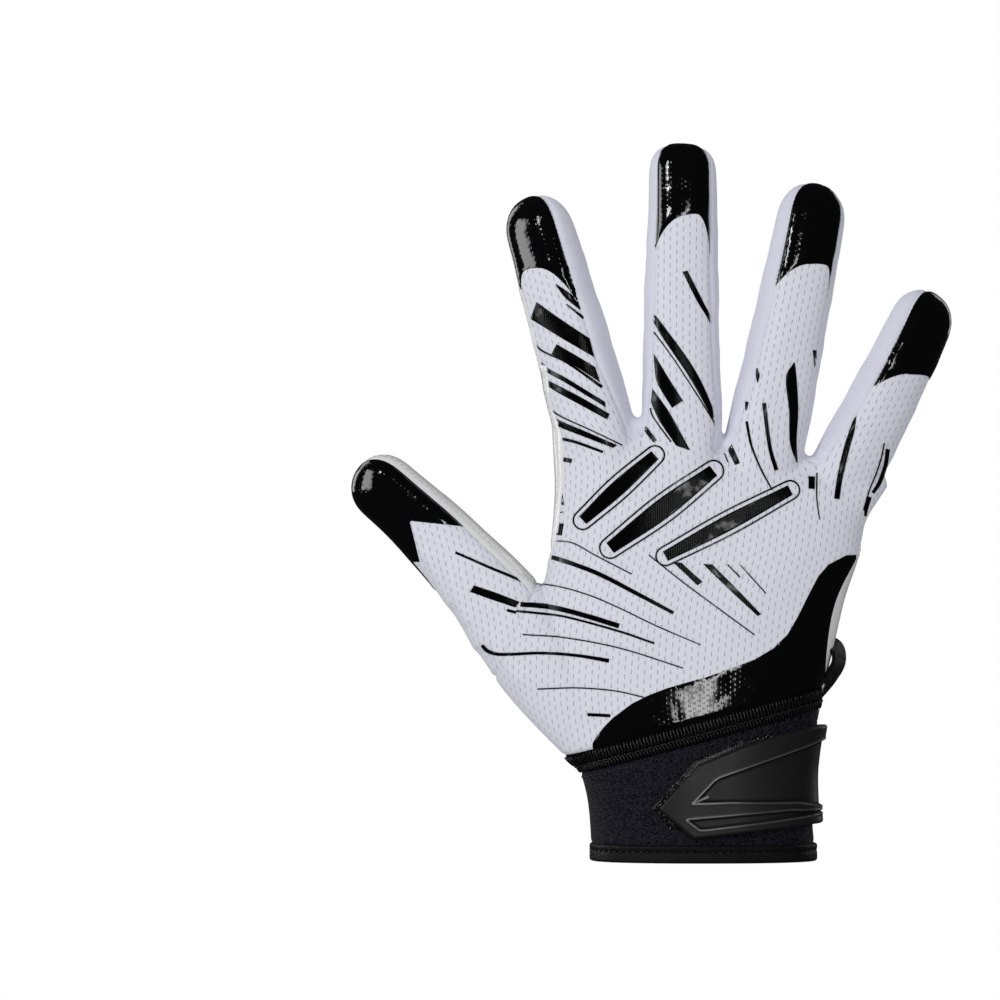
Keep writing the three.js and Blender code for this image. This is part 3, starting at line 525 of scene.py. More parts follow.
def strip_field(first, second, points):
    def half(at):
        return column(SIDE_STRIP_ROWS, 1, at)

    field = np.maximum(
        sector(first, points, lambda at: -half(at), half, -0.10, 1.03),
        sector(second, points, lambda at: 180 - half(at), lambda at: 180 + half(at), -0.10, 1.03))
    corners = [finger_sections(name, np.array([at])).centre[0] for name, at in
               ((first, -0.1), (second, -0.1), (second, 0.3), (first, 0.3))]
    web_y = (FINGERS[first][3][1] + FINGERS[second][3][1]) / 2
    web = np.minimum(within(points[:, 0], points[:, 2], [(c[0], c[2]) for c in corners]),
                     WEB_STRIP_WIDTH / 2 - np.abs(points[:, 1] - web_y))
    return np.maximum(field, web)


def grip_field(name, points, start=-0.1):
    low, high = FINGERS[name][7]
    return sector(name, points, lambda at: low, lambda at: high, start, 1.4)


def palm_field(points):
    hand = sector("hand", points, lambda at: 180 - column(HAND_ROWS, 7, at),
                  lambda at: 360 + column(HAND_ROWS, 8, at), -0.28, 1.1)
    return np.maximum.reduce([hand] + [grip_field(n, points) for n in ("index", "middle", "ring", "little")])


def thumb_field(points):
    web = THUMB_SEAM[0]
    outline = [*THUMB_SEAM, (-400, THUMB_SEAM[2][1]), (-400, 400), (web[0] - 100, 400),
               (web[0] - 8, web[1] + 12)]
    return within(points[:, 0], points[:, 2], outline)


def above_band(points):
    tilt = math.radians(BAND_SLOPE)
    return (points[:, 2] - BAND_HEIGHT - points[:, 0] * math.tan(tilt)) * math.cos(tilt)


# Cutting. The panels are cut out of the skin one after another, those on top first. What is left
# over at the end is the back panel.
cloth = Cloth(np.concatenate([skin_points, worn, skin_normals], axis=1), skin_tris)


def spot():
    # the smooth form's place of each corner of the cloth, which grows with every cut
    return cloth.values[:, :3]


cloth.cut(BINDING_HEIGHT - spot()[:, 2], "below")
for name in CAPS:
    cloth.cut(cap_field(name, spot()), "fingertip_cap_" + name)
STRIPS = {"side_strip_index_middle": ("index", "middle"), "side_strip_middle_ring": ("middle", "ring"),
          "side_strip_ring_little": ("ring", "little")}
for name, sides in STRIPS.items():
    cloth.cut(strip_field(*sides, spot()), name)
cloth.cut(thumb_field(spot()), "thumb_back")
cloth.cut(grip_field("thumb", spot(), -0.6), "thumb_grip", ("thumb_back",))
cloth.cut(palm_field(spot()), "palm_panel")
cloth.cut(-above_band(spot()), "cuff")
cloth.cut(BAND_WIDTH - above_band(spot()), "seam_band")
cloth.cut(within(spot()[:, 0], spot()[:, 2], WRIST_PANEL_EDGE), "wrist_panel")
cloth.label[cloth.label == ""] = "back_panel"

# Seams. Where two panels are sewn together the cloth rolls in a little. Overlays are pressed on top
# instead and only end in a low edge.
OVERLAYS = [n for n in np.unique(cloth.label) if n.startswith("fingertip") or n == "wrist_panel"]
pairs, one, other = cloth.borders()
overlaid = np.isin(one, OVERLAYS) | np.isin(other, OVERLAYS)
overlaid &= ~np.isin(one, ["seam_band"]) & ~np.isin(other, ["seam_band"])


def distance_to(corners, points, limit=6.0):
    tree = KDTree(len(corners))
    for k, p in enumerate(corners):
        tree.insert(p, k)
    tree.balance()
    return np.array([min(tree.find(p)[2], limit) for p in points])


place = cloth.values[:, 3:6]


def points_on(chosen):
    middles = (place[chosen[:, 0]] + place[chosen[:, 1]]) / 2
    return np.concatenate([place[np.unique(chosen)], middles])


to_seam = distance_to(points_on(pairs[~overlaid]), place)
to_overlay = distance_to(points_on(pairs[overlaid]), place)
SEAM_ROLL, SEAM_SINK = 1.9, 0.62
normal = cloth.values[:, 6:9] / np.linalg.norm(cloth.values[:, 6:9], axis=1)[:, None]
rolled = place - SEAM_SINK * (np.clip(1 - to_seam / SEAM_ROLL, 0, 1) ** 2)[:, None] * normal


# Grain of the cloth, in millimetres: the arc round the form and the way along it, with the fingers'
# grain turning smoothly into the hand's at the knuckles
def arc_table(half, depth):
    angle = np.radians(np.linspace(0, 180, 361))
    c, s = np.cos(angle), np.sin(angle)
    x, y = half * np.sign(c) * np.abs(c) ** (2 / ROUNDNESS), depth * np.abs(s) ** (2 / ROUNDNESS)
    length = np.concatenate([[0], np.cumsum(np.hypot(np.diff(x), np.diff(y)))])
    return np.degrees(angle), length - length[180]


def folded_under(points, u):
    # past the edge on the thumb's side the cloth runs on under the hand, and its grain with it
    rows, edge = [], []
    for height in np.arange(0.0, 150.0, 3.0):
        near = np.nonzero(np.abs(points[:, 2] - height) < 2.0)[0]
        if len(near):
            last = near[points[near, 0].argmin()]
            rows.append(height)
            edge.append((points[last, 0], points[last, 1], u[last]))
    x, y, at = (np.interp(points[:, 2], rows, values) for values in np.array(edge).T)
    under = (points[:, 1] > np.maximum(y, 0)) & (points[:, 0] < -20)
    return np.where(under, at - (points[:, 0] - x), u)


def grain(name, points, palm):
    def across(form, middle_half, depth):
        at, angle, radius, half = placed(form, points)
        angle = (angle + (180 if palm else 0)) % 360
        angle = np.where(angle > 270, angle - 360, angle)
        degrees, length = arc_table(middle_half, depth)
        inner = np.interp(np.clip(angle, 0, 180), degrees, length)
        beyond = np.where(angle < 0, angle, np.where(angle > 180, angle - 180, 0)) * middle_half / 57
        outside = np.clip(radius - 1.0, 0, None) * np.cos(np.radians(angle)) * middle_half
        scale = half / middle_half * (-1 if palm else 1)
        return at, radius, -(inner + beyond - (outside if form == "hand" else 0)) * scale

    if name.startswith("thumb"):
        station, _, side = across("thumb", 11.5, 11.0)
        along, turn = station * LENGTHS["thumb"], math.radians(-FINGERS["thumb"][4][0] - 6)
        c, s = math.cos(turn), math.sin(turn)
        return np.stack([side * c - along * s, side * s + along * c], 1)
    _, _, u = across("hand", 46.0, 19.0)
    if name == "back_panel":
        u = folded_under(points, u)
    start = np.stack([u, points[:, 2]], axis=1)
    weights, shifts = [], []
    for finger in ("index", "middle", "ring", "little"):
        station, radius, side = across(finger, 12.2, 10.8)
        web = FINGERS[finger][3]
        weights.append(np.clip(1.75 - radius, 0, 0.6) / 0.6 * step(station, -0.35, 0.1) + 1e-9)
        shifts.append(np.stack([web[0] + side, web[2] + station * LENGTHS[finger]], axis=1) - start)
    weights = np.array(weights) ** 2
    total = weights.sum(axis=0)
    share = weights / total * np.clip(np.sqrt(total), 0, 1)
    return start + (share[:, :, None] * np.array(shifts)).sum(axis=0)


def solid_mesh(name, points, tris, uv=None, sharp=50):
    mesh = bpy.data.meshes.new(name)
    mesh.vertices.add(len(points))
    mesh.vertices.foreach_set("co", (points * MM).astype(np.float32).ravel())
    mesh.loops.add(tris.size)
    mesh.loops.foreach_set("vertex_index", tris.astype(np.int32).ravel())
    mesh.polygons.add(len(tris))
    mesh.polygons.foreach_set("loop_start", np.arange(0, tris.size, tris.shape[1], dtype=np.int32))
    if uv is not None:
        layer = mesh.uv_layers.new(name="grain")
        layer.data.foreach_set("uv", uv[tris.ravel()].astype(np.float32).ravel())
    mesh.update(calc_edges=True)
    mesh.validate()
    mesh.shade_smooth()
    mesh.set_sharp_from_angle(angle=math.radians(sharp))
    obj = bpy.data.objects.new(name, mesh)
    bpy.context.scene.collection.objects.link(obj)
    return obj


def signed_volume(points, tris):
    a, b, c = points[tris[:, 0]], points[tris[:, 1]], points[tris[:, 2]]
    return np.einsum("ij,ij->i", np.cross(a, b), c).sum() / 6


def walled(outer, inner, tris):
    # a closed wall between an outer and an inner face with the same triangles
    pairs = np.stack([tris, np.roll(tris, -1, axis=1)], axis=2).reshape(-1, 2)
    key = pairs[:, 0].astype(np.int64) * len(outer) + pairs[:, 1]
    back = pairs[:, 1].astype(np.int64) * len(outer) + pairs[:, 0]
    edge = pairs[~np.isin(key, back)]
    n = len(outer)
    rim = np.concatenate([np.stack([edge[:, 1], edge[:, 0], edge[:, 0] + n], 1),
                          np.stack([edge[:, 1], edge[:, 0] + n, edge[:, 1] + n], 1)])
    return np.concatenate([outer, inner]), np.concatenate([tris, tris[:, ::-1] + n, rim])


def panel(name, wall, lift=0.0, palm=False):
    chosen = cloth.tris[cloth.label == name]
    used, tris = np.unique(chosen, return_inverse=True)
    tris = tris.reshape(-1, 3)
    over = name in OVERLAYS
    rise = lift * (0.4 + 0.6 * step(to_overlay[used], 0, 0.9)) if over else np.full(len(used), lift)
    outer = rolled[used] + rise[:, None] * normal[used]
    inner = place[used] - wall * normal[used]
    points, faces = walled(outer, inner, tris)
    uv = grain(name, cloth.values[used, :3], palm)
    return solid_mesh(name + "_cloth", points, faces, np.concatenate([uv, uv]))


# Cloth of the hand. The back is a perforated mesh knit, white with a lilac cast, cut in one piece
# with the backs of four fingers. The thumb's back is a piece of its own.
def node(tree, kind, inputs=None, **settings):
    made = tree.nodes.new(kind)
    for key, value in settings.items():
        setattr(made, key, value)
    for key, value in (inputs or {}).items():
        if isinstance(value, bpy.types.NodeSocket):
            tree.links.new(value, made.inputs[key])
        else:
            made.inputs[key].default_value = value
    return made


def sums(tree, operation, *values):
    return node(tree, "ShaderNodeMath", dict(enumerate(values)), operation=operation).outputs[0]


def grain_map(tree):
    # the cloth's own directions in millimetres: across and along its grain
    return node(tree, "ShaderNodeUVMap", uv_map="grain").outputs[0]


def grain_axes(tree):
    return node(tree, "ShaderNodeSeparateXYZ", {0: grain_map(tree)}).outputs


def noise(tree, where, scale, detail):
    return node(tree, "ShaderNodeTexNoise", {"Vector": where, "Scale": scale, "Detail": detail}).outputs["Fac"]


def ranged(tree, value, low, high, first=0.0, second=1.0, **settings):
    # first where the value is low, second where it is high
    sizes = {0: value, 1: low, 2: high, 3: first, 4: second}
    return node(tree, "ShaderNodeMapRange", sizes, **settings).outputs[0]


def blend(tree, share, first, second):
    # from the first colour to the second by a share from 0 to 1
    ends = [end if isinstance(end, bpy.types.NodeSocket) else (*end, 1) for end in (first, second)]
    return node(tree, "ShaderNodeMix", {0: share, 6: ends[0], 7: ends[1]}, data_type="RGBA").outputs[2]


def paint(name, colour, rough, **more):
    made = bpy.data.materials.new(name)
    made.use_nodes = True
    shader = made.node_tree.nodes["Principled BSDF"]
    shader.inputs["Base Color"].default_value = (*colour, 1)
    shader.inputs["Roughness"].default_value = rough
    for key, value in more.items():
        shader.inputs[key.replace("_", " ")].default_value = value
    return made, made.node_tree, shader


def group(name, inputs, outputs):
    tree = bpy.data.node_groups.new(name, "ShaderNodeTree")
    for key, value in inputs.items():
        socket = tree.interface.new_socket(name=key, in_out="INPUT", socket_type="NodeSocketFloat")
        socket.default_value = value
    for key in outputs:
        tree.interface.new_socket(name=key, in_out="OUTPUT", socket_type="NodeSocketFloat")
    return tree, tree.nodes.new("NodeGroupInput"), tree.nodes.new("NodeGroupOutput")


def use(tree, which, **inputs):
    made = node(tree, "ShaderNodeGroup")
    made.node_tree = which
    for key, value in inputs.items():
        made.inputs[key].default_value = value
    return made.outputs


def staggered_marks():
    # small marks in columns along the grain, each column half a pitch lower than the last
    sizes = {"Across": 2.1, "Along": 2.9, "Width": 0.13, "Length": 0.7, "Soft": 0.09}
    tree, given, result = group("staggered marks", sizes, ["Mask"])
    axes = grain_axes(tree)
    u = sums(tree, "DIVIDE", axes[0], given.outputs["Across"])
    odd = sums(tree, "MODULO", sums(tree, "ABSOLUTE", sums(tree, "FLOOR", u)), 2.0)
    rows = sums(tree, "DIVIDE", axes[1], given.outputs["Along"])
    v = sums(tree, "ADD", rows, sums(tree, "MULTIPLY", odd, 0.5))
    sides = []
    for value, pitch, half in ((u, "Across", "Width"), (v, "Along", "Length")):
        off = sums(tree, "ABSOLUTE", sums(tree, "SUBTRACT", sums(tree, "FRACT", value), 0.5))
        away = sums(tree, "SUBTRACT", sums(tree, "MULTIPLY", off, given.outputs[pitch]), given.outputs[half])
        inner = sums(tree, "MULTIPLY", given.outputs["Soft"], -1.0)
        sides.append(ranged(tree, away, inner, given.outputs["Soft"], 1.0, 0.0,
                            interpolation_type="SMOOTHSTEP"))
    tree.links.new(sums(tree, "MULTIPLY", *sides), result.inputs["Mask"])
    return tree


def fine_knit():
    # the stitches of a fine knit, as a height from 0 to 1
    tree, given, result = group("fine knit", {"Across": 0.7, "Along": 0.6, "Grain": 2.0}, ["Height"])
    axes = grain_axes(tree)
    turns = [sums(tree, "MULTIPLY", sums(tree, "DIVIDE", axes[k], given.outputs[pitch]), 2 * math.pi)
             for k, pitch in enumerate(("Across", "Along"))]
    sway = sums(tree, "MULTIPLY", sums(tree, "SINE", turns[0]), 1.1)
    lean = sums(tree, "SINE", sums(tree, "ADD", turns[1], sway))
    cloudy = noise(tree, grain_map(tree), given.outputs["Grain"], 3.0)
    height = sums(tree, "MULTIPLY_ADD", sums(tree, "ADD", lean, sums(tree, "COSINE", turns[0])), 0.17, 0.2)
    tree.links.new(sums(tree, "MULTIPLY_ADD", cloudy, 0.6, height), result.inputs["Height"])
    return tree


MARKS, KNIT = staggered_marks(), fine_knit()


def relief(tree, shader, height, depth):
    bump = node(tree, "ShaderNodeBump", {"Height": height, "Distance": depth * MM, "Strength": 1.0})
    tree.links.new(bump.outputs[0], shader.inputs["Normal"])


def mesh_knit():
    made, tree, shader = paint("mesh_knit", (0.83, 0.83, 0.91), 0.85, Sheen_Weight=0.15, Sheen_Roughness=0.5)
    marks, knots = use(tree, MARKS)["Mask"], use(tree, KNIT, Across=0.7, Along=0.55)["Height"]
    tone = ranged(tree, knots, 0.2, 0.9, 0.94, 1.04)
    dotted = blend(tree, marks, (0.84, 0.84, 0.92), (0.57, 0.57, 0.68))
    shade = node(tree, "ShaderNodeVectorMath", {0: dotted, 3: tone}, operation="SCALE")
    tree.links.new(shade.outputs[0], shader.inputs["Base Color"])
    relief(tree, shader, sums(tree, "SUBTRACT", sums(tree, "MULTIPLY", knots, 0.4), marks), 0.14)
    return made


def finish(obj, material, slot, *nodes):
    obj.data.materials.append(material)
    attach(obj, "root")
    if nodes:
        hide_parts(*nodes)
    return obj


KNIT_WALL = 1.0
knit = mesh_knit()
finish(panel("back_panel", KNIT_WALL), knit, "knit_mesh", "back_panel")
finish(panel("thumb_back", KNIT_WALL), knit, "knit_mesh", "thumb_back")


# Side strips. Each is a narrow V of plain fine knit with no holes in it, sewn in between two
# fingers, down one side, through the web and up the other.
def strip_knit():
    made, tree, shader = paint("strip_knit", (0.72, 0.72, 0.83), 0.9, Sheen_Weight=0.2, Sheen_Roughness=0.5)
    knots = use(tree, KNIT, Across=0.9, Along=0.8, Grain=1.2)["Height"]
    tree.links.new(blend(tree, knots, (0.72, 0.72, 0.83), (0.84, 0.84, 0.92)), shader.inputs["Base Color"])
    relief(tree, shader, knots, 0.07)
    return made


STRIP_CUTS = {"side_strip_index_middle": (16, 170), "side_strip_middle_ring": (16, 180),
              "side_strip_ring_little": (16, 148)}
strip = strip_knit()
for name, cut in STRIP_CUTS.items():
    finish(panel(name, KNIT_WALL), strip, "side_knit", name)


# Palm and thumb front. A thin cloth coated with clear tacky silicone, glossy and slightly uneven,
# wrapped round the outer side of the index finger and the little finger's edge of the hand.
def grip_coat():
    made, tree, shader = paint("grip_coat", (0.84, 0.83, 0.82), 0.38, Coat_Weight=0.7, Coat_Roughness=0.09)
    swell, fine = noise(tree, grain_map(tree), 0.09, 2.0), noise(tree, grain_map(tree), 1.4, 2.0)
    tree.links.new(blend(tree, swell, (0.86, 0.85, 0.84), (0.91, 0.90, 0.89)), shader.inputs["Base Color"])
    relief(tree, shader, sums(tree, "MULTIPLY_ADD", fine, 0.06, swell), 0.5)
    return made


GRIP_WALL = 1.2
grip = grip_coat()
finish(panel("palm_panel", GRIP_WALL, palm=True), grip, "grip_silicone", "palm_panel")
finish(panel("thumb_grip", GRIP_WALL, palm=True), grip, "grip_silicone", "thumb_grip")


# Fingertip caps and wrist panel. Soft glossy black film with fine raised dots, cut to shape and
# pressed on the knit hot, so that it stands a little above it.
def gloss_overlay():
    made, tree, shader = paint("gloss_overlay", (0.0015, 0.0015, 0.0018), 0.1, Coat_Weight=0.5,
                               Coat_Roughness=0.04)
    dots = use(tree, MARKS, Across=1.5, Along=1.7, Width=0.3, Length=0.34, Soft=0.25)["Mask"]
    swell = noise(tree, grain_map(tree), 0.25, 0.4)
    relief(tree, shader, sums(tree, "MULTIPLY_ADD", dots, 0.10, swell), 0.2)
    tree.links.new(ranged(tree, swell, 0.3, 0.7, 0.05, 0.11), shader.inputs["Roughness"])
    return made


OVERLAY_WALL, OVERLAY_LIFT = 1.3, 0.3
OVERLAY_CUTS = {"fingertip_cap_index": (22, 34, 570), "fingertip_cap_middle": (22, 33, 550),
                "fingertip_cap_ring": (22, 35, 590), "fingertip_cap_little": (30, 36, 860),
                "fingertip_cap_thumb": (34, 50, 1220), "wrist_panel": (78, 45, 1580)}
gloss = gloss_overlay()
for name, (width, length, area) in OVERLAY_CUTS.items():
    overlay = finish(panel(name, OVERLAY_WALL, OVERLAY_LIFT), gloss, "gloss_overlay", name)


# Printed stripes. Raised glossy black strokes pressed on the back, and flatter ones under the
# coat of the palm. Each stroke is drawn square on to the glove and laid down on the cloth.
STEEPEST_PRINT = 0.22            # prints end where the cloth turns away further than this
PRINT_HEIGHT, PALM_PRINT_HEIGHT = 0.22, 0.07
ROW_PITCH, COLUMN_PITCH = 0.8, 0.7
skin_face = BVHTree.FromPolygons(rolled.tolist(), cloth.tris.tolist())


def smooth_line(points, count):
    points = np.asarray(points, float)
    along = np.concatenate([[0], np.cumsum(np.linalg.norm(np.diff(points[:, :2], axis=0), axis=1))])
    rows = np.concatenate([along[:, None], points], axis=1)
    at = np.linspace(0, along[-1], count)
    return np.stack([column(rows, k, at) for k in range(1, rows.shape[1])], axis=1)


def line_length(points):
    points = np.asarray(points, float)
    return np.linalg.norm(np.diff(points[:, :2], axis=0), axis=1).sum()


def edges_of(points):
    # both edges of a stroke given as x, z and width
    count = max(4, int(line_length(points) / ROW_PITCH) + 2)
    line = smooth_line(points, count)
    way = np.stack([np.gradient(line[:, 0]), np.gradient(line[:, 1])], 1)
    way /= np.linalg.norm(way, axis=1)[:, None]
    out = np.stack([-way[:, 1], way[:, 0]], 1) * line[:, 2:3] / 2
    return line[:, :2] + out, line[:, :2] - out


def laid_on(xz, side, panels):
    # a point on the cloth below each front view point, the way out there and whether it may be printed
    points, outs, fine = [], [], []
    for x, z in xz:
        hit, out, face, _ = skin_face.ray_cast((x, -150.0 * side, z), (0, side, 0))
        if hit is None:
            hit, out, _, _ = skin_face.find_nearest((x, -8.0 * side, z))
            fine.append(False)
        else:
            fine.append(cloth.label[face] in panels and abs(out.y) > STEEPEST_PRINT)
        points.append(hit)
        outs.append(out)
    return np.array(points), np.array(outs), np.array(fine)


def stroke(first, second, side, panels, height):
    # a thin closed strip between two edges, with sunk borders
    across = max(3, min(18, int(np.linalg.norm(first - second, axis=1).max() / COLUMN_PITCH) + 2))
    share = np.concatenate([[0, 0.0], np.linspace(0.0, 1.0, across), [1.0, 1.0]])
    share[2] += 0.02
    share[-3] -= 0.02
    level = np.concatenate([[-0.2, 0.7 * height], np.full(across, height), [0.7 * height, -0.2]])
    share = np.concatenate([share, share[::-1][2:-2][::max(1, across - 1)]])
    level = np.concatenate([level, np.full(len(share) - len(level), -0.25)])
    xz = first[:, None, :] * (1 - share)[None, :, None] + second[:, None, :] * share[None, :, None]
    points, outs, fine = laid_on(xz.reshape(-1, 2), side, panels)
    rows = np.nonzero(fine.reshape(len(first), -1).any(axis=1))[0]
    if rows.size == 0:
        return None
    kept = slice(max(rows[0] - 1, 0) * len(share), (rows[-1] + 2) * len(share))
    points, outs, fine = points[kept], outs[kept], fine[kept]
    level = np.tile(level, len(points) // len(share))
    lift = np.where(fine, level, 0.2 * level - 0.45)
    points = points + outs * lift[:, None]
    n = len(share)
    quads = ring_grid(len(points) // n, n)[:-n]
    faces = np.concatenate([quads[:, [0, 1, 2]], quads[:, [0, 2, 3]]])
    k = np.arange(n - 2)
    end = len(points) - n
    near_lid, far_lid = np.stack([0 * k, k + 2, k + 1], 1), np.stack([0 * k, k + 1, k + 2], 1) + end
    return points, np.concatenate([faces, near_lid, far_lid])


def ring_grid(rows, columns):
    # quads of a grid that closes on itself both ways
    r, c = np.meshgrid(np.arange(rows), np.arange(columns), indexing="ij")
    r2, c2 = (r + 1) % rows, (c + 1) % columns
    corners = [r * columns + c, r * columns + c2, r2 * columns + c2, r2 * columns + c]
    return np.stack(corners, -1).reshape(-1, 4)


def strokes_object(name, strokes, side, panels, height):
    verts, faces, start = [], [], 0
    for given in strokes:
        if len(given) == 2 and not np.isscalar(given[0][0]):
            count = max(4, int(line_length(given[0]) / ROW_PITCH) + 2)
            first, second = smooth_line(given[0], count), smooth_line(given[1], count)
        else:
            first, second = edges_of(given)
        laid = stroke(first, second, side, panels, height)
        if laid is None:
            continue
        points, tris = laid
        centre = points.mean(axis=0)
        a, b, c = points[tris[:, 0]], points[tris[:, 1]], points[tris[:, 2]]
        if np.einsum("ij,ij->i", np.cross(b - a, c - a), a - centre).sum() < 0:
            tris = tris[:, ::-1]
        verts.append(points)
        faces.append(tris + start)
        start += len(points)
    points = np.concatenate(verts)
    return solid_mesh(name, points, np.concatenate(faces), points[:, [0, 2]], 60)


def keyline(bar, away, width):
    # a thin line round a bar, as its two long sides and rounded ends
    line = smooth_line(bar, 14)
    way = np.stack([np.gradient(line[:, 0]), np.gradient(line[:, 1])], 1)
    way /= np.linalg.norm(way, axis=1)[:, None]
    out = np.stack([-way[:, 1], way[:, 0]], 1) * (line[:, 2:3] / 2 + away)

    def turn(k, sign):
        # the half circle round one end
        beside, beyond = np.array([-way[k, 1], way[k, 0]]) * sign, way[k] * (1 if k else -1)
        return [line[k, :2] + (line[k, 2] / 2 + away) * (math.cos(a) * beside + math.sin(a) * beyond)
                for a in np.linspace(0, math.pi, 9)]

    there, back = line[:, :2] + out, (line[:, :2] - out)[::-1]
    path = [*there, *turn(-1, 1)[1:-1], *back, *turn(0, -1)[1:-1], there[0]]
    return [(x, z, width) for x, z in path]


